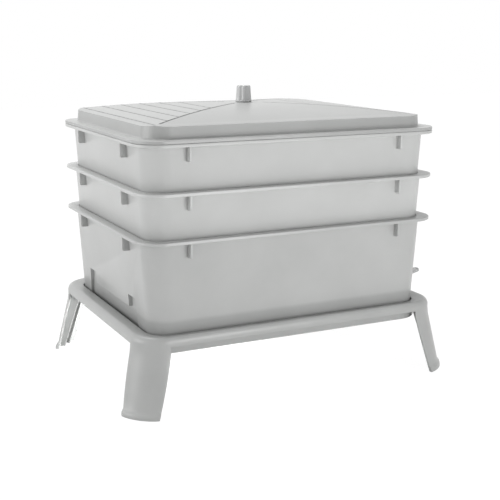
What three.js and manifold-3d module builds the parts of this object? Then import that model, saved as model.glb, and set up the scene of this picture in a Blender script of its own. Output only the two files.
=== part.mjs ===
// A stacking wormery: a splayed stand, a liquid collector with a tap, two nested
// working trays with drilled floors, and a shallow pyramid lid with a fluted knob.
// Millimetres, +Z up, the floor at z = 0, +X along the long side towards the tap.
import * as THREE from "three";
import { mergeVertices } from "three/addons/utils/BufferGeometryUtils.js";
import Module from "manifold-3d";

const wasm = await Module();
wasm.setup();

// Gaps and overruns
const restGap = 0.3; // between pieces that rest on or fit round each other
const cutOver = 1; // how far a cutter runs past what it cuts
const bond = 0.6; // how deep a rib is rooted in the wall that carries it
const arcMidShare = 0.3; // from a rounding's corner to the middle of its arc, of its radius

// Rims, the same on the lid, both trays and the collector
const rimLength = 381;
const rimWidth = 300;
const rimCorner = 30;
const rimReach = 9.25; // from the wall out to the rim's edge
const lipHeight = 3.7;
const lipThickness = 2.4;
const rimPlate = 2.4;
const rimFillet = 4.5; // between the wall and the underside of the rim
const edgeRound = 0.7;

// Trays
const wall = 2.5;
const wallCorner = 29; // plan radius of the wall at its own rim
const nestClearance = 0.64; // per side, between a tray and the one it hangs in
const rimPitch = 52.4; // from one rim to the next
const trayDepth = 75.3; // from the middle of the rim down to the underside of the floor
const floorThickness = 2.6;
const footRound = 3;
const innerRound = 1.5; // between a wall and the floor, inside
const drainHole = 9;
const drainColumns = 8;
const drainRows = 5;
const drainMargin = 30; // from the wall to the outermost row of holes

// Ribs under the rims and stop ribs inside the walls
const ribThickness = 2.5;
const ribDrop = 18.5; // below the middle of the rim
const ribSetback = 1.8; // from the rim's edge
const ribChamfer = 2.2;
const ribOffsetShort = 77; // from the middle of a short side
const ribOffsetLong = 134; // from the middle of a long side
const stopReach = 8;
const stopHeight = 36;
const stopNose = 6;
const stopOffsetShort = 52;
const stopOffsetLong = 88;

// Collector
const collectorHeight = 123.4; // from its underside to the middle of its rim
const bandTop = 35; // above the underside
const bandDepth = 4.3;
const notchTop = 49.5; // above the underside
const notchHalfTop = 11.5;
const notchHalfFoot = 18;
const notchOffset = 71;

// Stand
const standDeck = 67.7; // top of the deck that the collector stands on
const deckThickness = 3;
const deckRib = 7;
const deckRibInset = 36; // from the pan's wall to the ends of the ribs under the deck
const deckRibShare = 1 / 3; // of the way from the middle to those ends, for the two across
const panClearance = 1.6;
const panWall = 2.5;
const panRound = 7; // round the foot of the pan
const flangeReach = 16.7; // past the pan on the short sides
const flangeSwell = 13; // past the pan on the long sides
const flangeCorner = 35;
const flangeUnder = 10; // above the deck
const flangeEdge = 3.2;
const crestRise = 21; // above the deck
const crestWidth = 3.6;
const shoulderRun = 4.5;
const shoulderInShare = 0.3; // where the shoulder bends, of its run and of its rise
const shoulderUpShare = 0.66;
const leadDrop = 2;

// Legs, four curved panels
const legWall = 3;
const legInset = 0.25; // inside the flange's edge at the top
const legRoot = 1.6; // into the flange
const legTopShare = 1; // of the corner's quarter turn, at the flange
const footArc = 49; // radius of the panel at the floor
const footSpanShare = 0.6; // of a quarter turn, at the floor
const footOutX = 4.1; // arc centre at the floor, from the centre at the top
const footOutY = -0.95;
const beadHeight = 8.2;
const beadProud = 2;
const beadRound = 1.3;
const legRibDepthTop = 15;
const legRibDepthFoot = 6;
const legRibTurnShare = 0.36; // of the panel's half span
const legLevels = 5;

// Lid
const skirtHeight = 15; // from the middle of the flange to the eave
const skirtInset = 14.4; // of the eave from the flange's edge
const skirtFlare = 1; // from the eave to the flange
const eaveCorner = 26;
const eaveRound = 1.6;
const hipCorner = 1.2;
const lidRise = 12.5;
const lidShell = 2.5;
const lidPower = 2.1; // how the faces bow
const cornerPower = 8; // how fast the hips' sharp edge rounds into the eave's corner
const lidRings = 8;
const lidInnerRings = 5;
const plugDepth = 9; // of the locating lip in the upper tray
const plugWall = 2.2;
const plugClearance = 0.9;
const grooveWidth = 1.4;
const grooveDepth = 0.9;
const grooveCount = 6;
const grooveStartShare = 0.94; // of the way from the middle to the eave
const grooveStepShare = 0.112;
const hipStartShare = 0.94;
const hipEndShare = 0.085;
const tipShare = 0.02; // of the flat at the top of the lid

// Knob and its fixing
const knobHeight = 20;
const knobBase = 10;
const knobTop = 8.3;
const knobDome = 1;
const knobCrownShare = 1 / 3; // of the flat on top, of the knob's radius there
const fluteDepth = 0.75;
const flutes = 8;
const fluteSteps = 5;
const screwShank = 2;
const screwHead = 4;
const screwHeadHeight = 2.6;
const screwGrip = 12; // of the shank in the knob
const washerRadius = 6.5;
const washerThickness = 1.2;

// Tap
const tapOffset = -48; // from the middle of the short side
const tapLift = 16; // of the bore's axis above the collector's underside
const tapShank = 7.5;
const tapPassage = 4.2;
const tapCollar = 12.6;
const tapCollarThickness = 3;
const sealThickness = 2;
const sealRadius = 12.6;
const nutFlats = 22;
const nutThickness = 5;
const nutSides = 6;
const shankEnd = 2;
const tapBarrel = 8;
const tapThrow = 41.3; // from the seat to the plug's axis
const housingRadius = 9;
const housingAbove = 9; // above the bore's axis
const housingBelow = 12;
const boreStep = 0.6; // from the foot of the housing up to the floor of the plug's bore
const plugRadius = 6;
const plugFit = 0.3;
const plugCore = 3.9;
const plugRoof = 5; // of solid plug above the side port
const spoutTop = 7;
const spoutTip = 5.8;
const spoutLength = 16;
const oRingSection = 0.7;
const oRingDrop = 2.8; // below the top of the housing
const hubRadius = 8.6;
const hubHeight = 4;
const leverReach = 25.6;
const leverHalfRoot = 4.6;
const leverHalfTip = 6.6;
const leverThickness = 3;
const leverPocket = 1;
const leverMargin = 1.4;
const leverRise = 15; // degrees
const tapGapSide = 4.4; // from the tap's collar to the sides of the gap in the stand
const tapGapBelow = 1.4; // from the collar down to the gap's lower edge

// Facets
const cornerSteps = 6;
const roundSteps = 20;
const holeSteps = 6;

// Places worked out from the sizes above
const rimHalfX = rimLength / 2;
const rimHalfY = rimWidth / 2;
const draft = (wall + nestClearance) / rimPitch; // per side, for each millimetre down
const collectorZ = standDeck + restGap;
const collectorRim = collectorZ + collectorHeight;
const lowerRim = collectorRim + rimPitch;
const upperRim = lowerRim + rimPitch;
const lidRim = upperRim + lipHeight + restGap;
const eaveZ = lidRim + skirtHeight;
const apexZ = eaveZ + lidRise;
const knobZ = apexZ + restGap;
const seatX = rimHalfX - rimReach - draft * (collectorHeight - bandTop) - bandDepth;
const tapZ = collectorZ + tapLift;
const plugX = seatX + tapThrow;
const crestZ = standDeck + crestRise;
const panInset = draft * (collectorRim - crestZ) - panClearance;
const panHalfX = rimHalfX - rimReach - panInset + panWall;
const panHalfY = rimHalfY - rimReach - panInset + panWall;
const panCorner = wallCorner - panInset + panWall;
const flangeHalfX = panHalfX + flangeReach;
const flangeHalfY = panHalfY + flangeSwell;
const flangeUnderZ = standDeck + flangeUnder;
const legCentreX = flangeHalfX - flangeCorner;
const legCentreY = flangeHalfY - flangeCorner;

// Materials
function plastic(color, roughness) {
  return new THREE.MeshStandardMaterial({ color, roughness, metalness: 0 });
}
const bodyGrey = plastic(0xc6c7c6, 0.42);
const trayGrey = plastic(0xcbcccb, 0.42);
const lidGrey = plastic(0xd2d3d2, 0.4);
const knobGrey = plastic(0x9a9b9c, 0.38);
const tapGrey = plastic(0xbfc0c0, 0.4);
const sealBlack = plastic(0x242424, 0.85);
const steel = new THREE.MeshStandardMaterial({ color: 0xb9bcbf, roughness: 0.3, metalness: 1 });

// Solids from geometries, and back
function solidOf(geometry) {
  const bare = geometry.clone();
  bare.deleteAttribute("normal");
  bare.deleteAttribute("uv");
  const merged = mergeVertices(bare);
  const corners = merged.index ? merged.index.array : merged.getAttribute("position").array.keys();
  return new wasm.Manifold(new wasm.Mesh({
    numProp: 3,
    vertProperties: new Float32Array(merged.getAttribute("position").array),
    triVerts: new Uint32Array(corners),
  }));
}

function geometryOf(solid) {
  const mesh = solid.getMesh();
  const geometry = new THREE.BufferGeometry();
  geometry.setAttribute("position", new THREE.BufferAttribute(mesh.vertProperties, 3));
  geometry.setIndex(new THREE.BufferAttribute(mesh.triVerts, 1));
  const flat = geometry.toNonIndexed();
  flat.computeVertexNormals();
  return flat;
}

const joined = (solids) => solids.reduce((whole, piece) => whole.add(piece));
const cutBy = (solid, cutters) => cutters.reduce((whole, cutter) => whole.subtract(cutter), solid);

// A closed surface through rings of equal point counts, with a flat cap at each end. Each ring runs
// anticlockwise seen from above, and the first is the lowest of the outer face.
function loft(rings) {
  const count = rings[0].length;
  const points = rings.flat();
  const index = [];
  for (let band = 0; band < rings.length - 1; band++) {
    const low = band * count;
    const high = low + count;
    for (let i = 0; i < count; i++) {
      const next = (i + 1) % count;
      index.push(low + i, low + next, high + next);
      index.push(low + i, high + next, high + i);
    }
  }
  const last = (rings.length - 1) * count;
  const flatten = (ring) => ring.map((p) => new THREE.Vector2(p.x, p.y));
  for (const [a, b, c] of THREE.ShapeUtils.triangulateShape(flatten(rings[0]), [])) {
    index.push(a, c, b);
  }
  for (const [a, b, c] of THREE.ShapeUtils.triangulateShape(flatten(rings.at(-1)), [])) {
    index.push(last + a, last + b, last + c);
  }
  const geometry = new THREE.BufferGeometry().setFromPoints(points);
  geometry.setIndex(index);
  return solidOf(geometry);
}

// A rectangle with rounded corners at one height.
function roundedRing(halfX, halfY, radius, z) {
  const points = [];
  for (let corner = 0; corner < 4; corner++) {
    const signX = corner === 0 || corner === 3 ? 1 : -1;
    const signY = corner < 2 ? 1 : -1;
    for (let step = 0; step <= cornerSteps; step++) {
      const turn = (corner + step / cornerSteps) * Math.PI / 2;
      const x = signX * (halfX - radius) + radius * Math.cos(turn);
      const y = signY * (halfY - radius) + radius * Math.sin(turn);
      points.push(new THREE.Vector3(x, y, z));
    }
  }
  return points;
}

// The wall's outline, set in by some amount from where it meets its own rim.
function wallRing(inset, z) {
  return roundedRing(rimHalfX - rimReach - inset, rimHalfY - rimReach - inset, wallCorner - inset, z);
}

// The rim's outline, set in from its edge; its corners ease from the rim's radius to the wall's.
function rimRing(inset, z) {
  const share = inset / rimReach;
  const radius = rimCorner + (wallCorner - rimCorner) * share;
  return roundedRing(rimHalfX - inset, rimHalfY - inset, radius, z);
}

function cylinder(radiusLow, radiusHigh, length, steps) {
  const geometry = new THREE.CylinderGeometry(radiusHigh, radiusLow, length, steps);
  geometry.rotateX(Math.PI / 2);
  return geometry;
}

// An upright round bar between two heights.
function post(radiusLow, radiusHigh, x, y, low, high, steps = roundSteps) {
  return solidOf(cylinder(radiusLow, radiusHigh, high - low, steps).translate(x, y, (low + high) / 2));
}

// A round bar along X between two places.
function bar(radius, from, to, y, z, steps = roundSteps) {
  const geometry = cylinder(radius, radius, to - from, steps);
  return solidOf(geometry.rotateY(Math.PI / 2).translate((from + to) / 2, y, z));
}

function block(fromX, toX, fromY, toY, fromZ, toZ) {
  const geometry = new THREE.BoxGeometry(toX - fromX, toY - fromY, toZ - fromZ);
  return solidOf(geometry.translate((fromX + toX) / 2, (fromY + toY) / 2, (fromZ + toZ) / 2));
}

// A thin plate that stands on a side wall. Its outline is given as pairs of distance from
// the middle plane and height. Side 0 is +X, and the others follow anticlockwise.
function sidePlate(outline, side, along, thickness) {
  const shape = new THREE.Shape(outline.map(([out, up]) => new THREE.Vector2(out, up)));
  const geometry = new THREE.ExtrudeGeometry(shape, { depth: thickness, bevelEnabled: false });
  geometry.translate(0, 0, -thickness / 2);
  geometry.rotateX(Math.PI / 2);
  geometry.translate(0, along, 0);
  geometry.rotateZ(side * Math.PI / 2);
  return solidOf(geometry);
}

// Two plates on each of the four sides, from make(side, along, half), where half is the distance
// from the middle of the box to that side's wall.
function onAllSides(offsetShort, offsetLong, make) {
  const plates = [];
  for (let side = 0; side < 4; side++) {
    const short = side % 2 === 0;
    const half = (short ? rimHalfX : rimHalfY) - rimReach;
    for (const sign of [-1, 1]) {
      plates.push(make(side, sign * (short ? offsetShort : offsetLong), half));
    }
  }
  return plates;
}

// A box open at the top: the outer and inner forms of a tray or of the collector.
function outerForm(rimZ, depth) {
  const footInset = draft * depth;
  const low = rimZ - lipHeight / 2;
  const high = rimZ + lipHeight / 2;
  const plateLow = high - rimPlate;
  const rings = [
    wallRing(footInset + footRound, rimZ - depth),
    wallRing(footInset + footRound * arcMidShare, rimZ - depth + footRound * arcMidShare),
    wallRing(footInset - draft * footRound, rimZ - depth + footRound),
    wallRing(draft * (rimZ - plateLow + rimFillet), plateLow - rimFillet),
  ];
  const halfTurn = Math.PI / 4;
  rings.push(
    wallRing(-rimFillet * (1 - Math.cos(halfTurn)), plateLow - rimFillet * (1 - Math.sin(halfTurn))),
    wallRing(-rimFillet, plateLow),
    rimRing(lipThickness, plateLow),
    rimRing(lipThickness, low),
    rimRing(0, low),
    rimRing(0, high - edgeRound),
    rimRing(edgeRound, high),
  );
  return loft(rings);
}

function innerForm(rimZ, depth) {
  const high = rimZ + lipHeight / 2;
  const floorZ = rimZ - depth + floorThickness;
  const floorInset = wall + draft * (rimZ - floorZ);
  return loft([
    wallRing(floorInset + innerRound, floorZ),
    wallRing(floorInset + innerRound * arcMidShare, floorZ + innerRound * arcMidShare),
    wallRing(floorInset - draft * innerRound, floorZ + innerRound),
    wallRing(wall, high - edgeRound),
    wallRing(wall - edgeRound, high),
    wallRing(wall - edgeRound, high + cutOver),
  ]);
}

// Gusset plates under the rim, outside the wall.
function rimRibs(rimZ) {
  const top = rimZ + lipHeight / 2 - rimPlate + bond;
  const low = rimZ - ribDrop;
  return onAllSides(ribOffsetShort, ribOffsetLong, (side, along, half) => {
    const edge = half + rimReach - ribSetback;
    const root = half - draft * ribDrop - bond;
    const outline = [
      [root, low],
      [edge - ribChamfer, low],
      [edge, low + ribChamfer],
      [edge, top],
      [root, top],
    ];
    return sidePlate(outline, side, along, ribThickness);
  });
}

// Ribs inside the wall that stop the tray above.
function stopRibs(rimZ) {
  const top = rimZ + rimPitch - trayDepth - restGap;
  return onAllSides(stopOffsetShort, stopOffsetLong, (side, along, half) => {
    const faceTop = half - wall - draft * (rimZ - top);
    const faceLow = half - wall - draft * (rimZ - top + stopHeight);
    const outline = [
      [faceLow + bond, top - stopHeight],
      [faceTop + bond, top],
      [faceTop - stopReach, top],
      [faceTop - stopReach, top - stopNose],
      [faceLow, top - stopHeight],
    ];
    return sidePlate(outline, side, along, ribThickness);
  });
}

function tray(rimZ) {
  const floorZ = rimZ - trayDepth;
  const reachX = rimHalfX - rimReach - draft * trayDepth - drainMargin;
  const reachY = rimHalfY - rimReach - draft * trayDepth - drainMargin;
  const holes = [];
  for (let column = 0; column < drainColumns; column++) {
    for (let row = 0; row < drainRows; row++) {
      const x = reachX * (2 * column / (drainColumns - 1) - 1);
      const y = reachY * (2 * row / (drainRows - 1) - 1);
      const radius = drainHole / 2;
      holes.push(post(radius, radius, x, y, floorZ - cutOver, floorZ + floorThickness + cutOver, holeSteps));
    }
  }
  const shell = outerForm(rimZ, trayDepth).subtract(innerForm(rimZ, trayDepth));
  return joined([cutBy(shell, holes), ...rimRibs(rimZ), ...stopRibs(rimZ)]);
}

// The set-back band and its two notches low on each short side, grown by some amount.
function bandCutters(grow) {
  const low = -cutOver - grow;
  const outline = [
    [-notchOffset - notchHalfFoot - grow, low],
    [notchOffset + notchHalfFoot + grow, low],
    [notchOffset + notchHalfTop + grow, notchTop + grow],
    [notchOffset - notchHalfTop - grow, notchTop + grow],
    [notchOffset - notchHalfTop - grow, bandTop + grow],
    [notchHalfTop + grow - notchOffset, bandTop + grow],
    [notchHalfTop + grow - notchOffset, notchTop + grow],
    [-notchOffset - notchHalfTop - grow, notchTop + grow],
  ];
  const shape = new THREE.Shape(outline.map(([along, up]) => new THREE.Vector2(along, up)));
  return [0, 2].map((side) => {
    const geometry = new THREE.ExtrudeGeometry(shape, { depth: rimReach + bandDepth, bevelEnabled: false });
    geometry.rotateX(Math.PI / 2).rotateZ(Math.PI / 2);
    geometry.translate(seatX - grow, 0, collectorZ);
    return solidOf(geometry.rotateZ(side * Math.PI / 2));
  });
}

function collector() {
  const outer = cutBy(outerForm(collectorRim, collectorHeight), bandCutters(0));
  const inner = cutBy(innerForm(collectorRim, collectorHeight), bandCutters(wall));
  const shell = outer.subtract(inner);
  const bore = bar(tapShank + restGap, seatX - wall - cutOver, seatX + cutOver, tapOffset, tapZ);
  return joined([shell.subtract(bore), ...rimRibs(collectorRim), ...stopRibs(collectorRim)]);
}

const panRing = (inset, z) => roundedRing(panHalfX - inset, panHalfY - inset, panCorner - inset, z);

// The pan with its deck, and the flange that turns out and down round it.
function pan() {
  const flange = (inset, z) => {
    const share = inset / flangeReach;
    const halfY = flangeHalfY - flangeSwell * share;
    return roundedRing(flangeHalfX - inset, halfY, flangeCorner + (panCorner - flangeCorner) * share, z);
  };
  const edgeTop = flangeUnderZ + flangeEdge;
  const foot = standDeck - deckThickness;
  const seatRound = panRound - panWall;
  return loft([
    panRing(panRound, foot),
    panRing(panRound * arcMidShare, foot + panRound * arcMidShare),
    panRing(0, foot + panRound),
    panRing(0, flangeUnderZ - restGap),
    flange(0, flangeUnderZ),
    flange(0, edgeTop),
    flange(shoulderRun * shoulderInShare, edgeTop + (crestZ - edgeTop) * shoulderUpShare),
    flange(shoulderRun, crestZ - edgeRound),
    flange(shoulderRun + crestWidth / 2, crestZ),
    flange(shoulderRun + crestWidth, crestZ - edgeRound),
    panRing(panWall, crestZ - leadDrop),
    panRing(panWall, standDeck + seatRound),
    panRing(panWall + seatRound * arcMidShare, standDeck + seatRound * arcMidShare),
    panRing(panWall + seatRound, standDeck),
  ]);
}

// Stiffening ribs under the deck, one lengthwise and two across.
function deckRibs() {
  const reachX = panHalfX - panWall - deckRibInset;
  const reachY = panHalfY - panWall - deckRibInset;
  const low = standDeck - deckThickness - deckRib;
  const high = standDeck - deckThickness + bond;
  const half = ribThickness / 2;
  const across = [-1, 1].map((sign) => {
    const x = sign * reachX * deckRibShare;
    return block(x - half, x + half, -reachY, reachY, low, high);
  });
  return [block(-reachX, reachX, -half, half, low, high), ...across];
}

// Part of a round band at one height, as a ring of points. Its outer edge comes first.
function arcBand(centreX, centreY, outer, inner, from, to, steps, z) {
  const point = (radius, angle) =>
    new THREE.Vector3(centreX + radius * Math.cos(angle), centreY + radius * Math.sin(angle), z);
  const points = [];
  for (let step = 0; step <= steps; step++) points.push(point(outer, from + (to - from) * step / steps));
  for (let step = steps; step >= 0; step--) points.push(point(inner, from + (to - from) * step / steps));
  return points;
}

// The leg panel's arc at a height: it widens and flattens from the flange down to the floor.
function legArc(z) {
  const share = 1 - z / flangeUnderZ;
  const mix = (top, foot) => top + (foot - top) * share;
  return {
    x: legCentreX + footOutX * share,
    y: legCentreY + footOutY * share,
    radius: mix(flangeCorner - legInset, footArc),
    half: mix(legTopShare, footSpanShare) * Math.PI / 4,
    ribDepth: mix(legRibDepthTop, legRibDepthFoot),
  };
}

function leg() {
  const middle = Math.PI / 4;
  const band = (z, proud) => {
    const arc = legArc(z);
    const half = arc.half + proud / arc.radius;
    return arcBand(arc.x, arc.y, arc.radius + proud, arc.radius - legWall, middle - half, middle + half,
      cornerSteps, z);
  };
  const top = flangeUnderZ + legRoot;
  const rings = [
    band(0, beadProud - beadRound),
    band(beadRound, beadProud),
    band(beadHeight - beadRound, beadProud),
    band(beadHeight, 0),
  ];
  for (let level = 1; level <= legLevels; level++) {
    rings.push(band(beadHeight + (top - beadHeight) * level / legLevels, 0));
  }
  const ribs = [-1, 1].map((sign) => {
    const section = (z) => {
      const arc = legArc(z);
      const face = arc.radius - legWall;
      const half = ribThickness / 2 / face;
      const angle = middle + sign * arc.half * legRibTurnShare;
      return arcBand(arc.x, arc.y, face + bond, face - arc.ribDepth, angle - half, angle + half, 1, z);
    };
    return loft([section(0), section(top)]);
  });
  return joined([loft(rings), ...ribs]);
}

function stand() {
  const seat = loft([panRing(panWall, standDeck), panRing(panWall, crestZ)]);
  const panel = leg().subtract(seat);
  const legs = [];
  for (const flipX of [false, true]) {
    for (const flipY of [false, true]) {
      let turned = panel;
      if (flipX) turned = turned.mirror([1, 0, 0]);
      if (flipY) turned = turned.mirror([0, 1, 0]);
      legs.push(turned);
    }
  }
  const tapGap = block(
    panHalfX - panWall - cutOver, flangeHalfX + cutOver,
    tapOffset - tapCollar - tapGapSide, tapOffset + tapCollar + tapGapSide,
    tapZ - tapCollar - tapGapBelow, crestZ + cutOver,
  );
  return joined([pan(), ...deckRibs(), ...legs]).subtract(tapGap);
}

// The lid's top face at a share of the way from the middle to the eave.
const lidHeight = (share) => eaveZ + lidRise * (1 - share ** lidPower);
const eaveHalfX = rimHalfX - skirtInset;
const eaveHalfY = rimHalfY - skirtInset + skirtFlare;

function lidRing(share, inset, drop) {
  const round = hipCorner + (eaveCorner - inset - hipCorner) * share ** cornerPower;
  const halfX = (eaveHalfX - inset) * share;
  const halfY = (eaveHalfY - inset) * share;
  return roundedRing(halfX, halfY, Math.min(round, halfX, halfY), lidHeight(share) - drop);
}

// Thin grooves over the two short faces, and one along each hip.
function lidGrooves() {
  const cutters = [];
  for (let line = 0; line < grooveCount; line++) {
    const share = grooveStartShare - grooveStepShare * line;
    const x = eaveHalfX * share;
    const reach = eaveHalfY * share - grooveWidth;
    const top = lidHeight(share);
    for (const sign of [-1, 1]) {
      const middle = sign * x;
      cutters.push(block(middle - grooveWidth / 2, middle + grooveWidth / 2, -reach, reach,
        top - grooveDepth, top + cutOver));
    }
  }
  const section = [
    [-grooveWidth / 2, -grooveDepth],
    [grooveWidth / 2, -grooveDepth],
    [grooveWidth / 2, cutOver],
    [-grooveWidth / 2, cutOver],
  ];
  for (const signX of [-1, 1]) {
    for (const signY of [-1, 1]) {
      const length = Math.hypot(eaveHalfX, eaveHalfY);
      const steps = lidRings;
      const stations = [];
      for (let step = 0; step <= steps; step++) {
        const share = hipEndShare + (hipStartShare - hipEndShare) * step / steps;
        const across = new THREE.Vector2(-signY * eaveHalfY, signX * eaveHalfX).divideScalar(length);
        const corner = (side, up) => new THREE.Vector3(
          signX * eaveHalfX * share + across.x * side,
          signY * eaveHalfY * share + across.y * side,
          lidHeight(share) + up,
        );
        stations.push(section.map(([side, up]) => corner(side, up)));
      }
      cutters.push(strip(stations));
    }
  }
  return cutters;
}

// A bar with four corners at each station along its run, closed at both ends. The corners run
// anticlockwise seen from the bar's far end.
function strip(stations) {
  const corners = 4;
  const index = [];
  for (let step = 0; step < stations.length - 1; step++) {
    for (let i = 0; i < corners; i++) {
      const a = step * corners + i;
      const b = step * corners + (i + 1) % corners;
      index.push(a, b, b + corners, a, b + corners, a + corners);
    }
  }
  const last = (stations.length - 1) * corners;
  index.push(0, 2, 1, 0, 3, 2, last, last + 1, last + 2, last, last + 2, last + 3);
  const geometry = new THREE.BufferGeometry().setFromPoints(stations.flat());
  geometry.setIndex(index);
  return solidOf(geometry);
}

function lid() {
  const low = lidRim - lipHeight / 2;
  const high = lidRim + lipHeight / 2;
  const skirt = (inset, z) => roundedRing(eaveHalfX - inset, eaveHalfY - inset, eaveCorner - inset, z);
  const plugTop = wall + plugClearance;
  const outer = [
    wallRing(plugTop + draft * plugDepth, low - plugDepth),
    wallRing(plugTop, low),
    rimRing(edgeRound, low),
    rimRing(0, low + edgeRound),
    rimRing(0, high - edgeRound),
    rimRing(edgeRound, high),
    skirt(-skirtFlare - edgeRound, high),
    skirt(-skirtFlare, high + edgeRound),
    skirt(0, eaveZ - eaveRound),
    skirt(eaveRound * arcMidShare, eaveZ - eaveRound * arcMidShare),
  ];
  const start = 1 - eaveRound / eaveHalfY;
  const inner = [
    wallRing(plugTop + plugWall + draft * plugDepth, low - plugDepth - cutOver),
    wallRing(plugTop + plugWall + draft * plugDepth, low - plugDepth),
    wallRing(plugTop + plugWall, low),
    skirt(lidShell, eaveZ - lidShell - eaveRound),
  ];
  for (let step = 0; step < lidRings; step++) outer.push(lidRing(start * (1 - step / lidRings), 0, 0));
  for (let step = 0; step < lidInnerRings; step++) {
    inner.push(lidRing(start * (1 - step / lidInnerRings), lidShell, lidShell));
  }
  outer.push(lidRing(tipShare, 0, 0));
  inner.push(lidRing(tipShare, lidShell, lidShell));
  const shell = loft(outer).subtract(loft(inner));
  const hole = post(screwShank + restGap, screwShank + restGap, 0, 0, eaveZ, apexZ + cutOver);
  return cutBy(shell, [hole, ...lidGrooves()]);
}

function knob() {
  const steps = flutes * fluteSteps;
  const ring = (radius, depth, z) => {
    const points = [];
    for (let step = 0; step < steps; step++) {
      const turn = 2 * Math.PI * step / steps;
      const dip = depth * ((1 - Math.cos(flutes * turn)) / 2) ** 2;
      points.push(new THREE.Vector3((radius - dip) * Math.cos(turn), (radius - dip) * Math.sin(turn), z));
    }
    return points;
  };
  const top = knobZ + knobHeight;
  const grip = loft([
    ring(knobBase, 0, knobZ),
    ring(knobBase, fluteDepth / 2, knobZ + knobDome),
    ring(knobBase - knobDome * arcMidShare, fluteDepth, knobZ + 2 * knobDome),
    ring(knobTop, fluteDepth, top - 2 * knobDome),
    ring(knobTop - knobDome / 2, fluteDepth / 2, top - knobDome),
    ring(knobTop - 2 * knobDome, 0, top - knobDome * arcMidShare),
    ring(knobTop * knobCrownShare, 0, top),
  ]);
  const bore = screwShank + restGap;
  return grip.subtract(post(bore, bore, 0, 0, knobZ - cutOver, knobZ + screwGrip + restGap));
}

// The screw and washer under the lid hold the knob.
const washerZ = apexZ - lidShell - restGap - washerThickness;
const headZ = washerZ - restGap - screwHeadHeight;

function knobWasher() {
  const ring = post(washerRadius, washerRadius, 0, 0, washerZ, washerZ + washerThickness);
  const bore = screwShank + restGap;
  return ring.subtract(post(bore, bore, 0, 0, washerZ - cutOver, washerZ + washerThickness + cutOver));
}

function knobScrew() {
  const slot = screwShank / 2;
  const head = post(screwHead - slot / 2, screwHead, 0, 0, headZ, headZ + screwHeadHeight);
  const shank = post(screwShank, screwShank, 0, 0, headZ + slot, knobZ + screwGrip);
  const cross = [
    block(-screwHead / 2, screwHead / 2, -slot / 2, slot / 2, headZ - cutOver, headZ + slot),
    block(-slot / 2, slot / 2, -screwHead / 2, screwHead / 2, headZ - cutOver, headZ + slot),
  ];
  return cutBy(joined([head, shank]), cross);
}

// Tap: shank through the collector's wall, housing with an upright plug, spout below.
const outerSealX = seatX + restGap;
const collarX = outerSealX + sealThickness + restGap;
const innerSealX = seatX - wall - restGap - sealThickness;
const nutX = innerSealX - restGap - nutThickness;
const housingTop = tapZ + housingAbove;
const housingLow = tapZ - housingBelow;
const boreFloor = housingLow + boreStep;
const plugLow = boreFloor + restGap;
const hubZ = housingTop + restGap;

function tapBody() {
  const outside = [
    bar(tapShank, nutX - shankEnd, collarX + bond, tapOffset, tapZ),
    bar(tapCollar, collarX, collarX + tapCollarThickness, tapOffset, tapZ),
    bar(tapBarrel, collarX + bond, plugX, tapOffset, tapZ),
    post(housingRadius, housingRadius, plugX, tapOffset, housingLow, housingTop),
    post(spoutTip, spoutTop, plugX, tapOffset, housingLow - spoutLength, housingLow + bond),
  ];
  const bore = plugRadius + plugFit;
  const inside = [
    bar(tapPassage, nutX - shankEnd - cutOver, plugX, tapOffset, tapZ),
    post(bore, bore, plugX, tapOffset, boreFloor, housingTop + cutOver),
    post(plugCore, plugCore, plugX, tapOffset, housingLow - spoutLength - cutOver, boreFloor + cutOver),
  ];
  return cutBy(joined(outside), inside);
}

function sealRing(from) {
  const to = from + sealThickness;
  const hole = bar(tapShank + restGap, from - cutOver, to + cutOver, tapOffset, tapZ);
  return bar(sealRadius, from, to, tapOffset, tapZ).subtract(hole);
}

function tapNut() {
  const corner = nutFlats / 2 / Math.cos(Math.PI / nutSides);
  const to = nutX + nutThickness;
  const hole = bar(tapShank + restGap, nutX - cutOver, to + cutOver, tapOffset, tapZ);
  return bar(corner, nutX, to, tapOffset, tapZ, nutSides).subtract(hole);
}

// The lever's plan, from the hub to its rounded tip.
function leverPlan(margin) {
  const tip = leverHalfTip - margin;
  const root = leverHalfRoot - margin;
  const shape = new THREE.Shape();
  shape.moveTo(margin, -root);
  shape.lineTo(leverReach - leverHalfTip, -tip);
  shape.absarc(leverReach - leverHalfTip, 0, tip, -Math.PI / 2, Math.PI / 2, false);
  shape.lineTo(margin, root);
  return shape;
}

function lever() {
  const slab = (margin, low, high) => {
    const geometry = new THREE.ExtrudeGeometry(leverPlan(margin), {
      depth: high - low,
      bevelEnabled: false,
      curveSegments: cornerSteps,
    });
    geometry.translate(0, 0, low);
    geometry.rotateY(-THREE.MathUtils.degToRad(leverRise));
    return solidOf(geometry.translate(plugX, tapOffset, hubZ));
  };
  const pocket = slab(leverMargin, leverThickness - leverPocket, leverThickness + cutOver);
  const blade = slab(0, 0, leverThickness).subtract(pocket);
  const below = block(plugX - hubRadius, plugX + leverReach, tapOffset - hubRadius, tapOffset + hubRadius,
    hubZ - leverThickness - cutOver, hubZ);
  const hub = post(hubRadius, hubRadius - edgeRound, plugX, tapOffset, hubZ, hubZ + hubHeight);
  return blade.subtract(below).add(hub);
}

const oRingZ = housingTop - oRingDrop;
const oRingRadius = plugRadius - oRingSection;

function tapPlug() {
  const stem = post(plugRadius, plugRadius, plugX, tapOffset, plugLow, hubZ + bond);
  const reach = oRingSection + restGap;
  const rim = plugRadius + cutOver;
  const floor = plugRadius - 2 * reach;
  const groove = post(rim, rim, plugX, tapOffset, oRingZ - reach, oRingZ + reach)
    .subtract(post(floor, floor, plugX, tapOffset, oRingZ - reach - cutOver, oRingZ + reach + cutOver));
  const core = post(plugCore, plugCore, plugX, tapOffset, plugLow - cutOver, housingTop - plugRoof);
  const port = bar(tapPassage, plugX - plugRadius - cutOver, plugX, tapOffset, tapZ);
  return cutBy(joined([stem, lever()]), [groove, core, port]);
}

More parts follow.
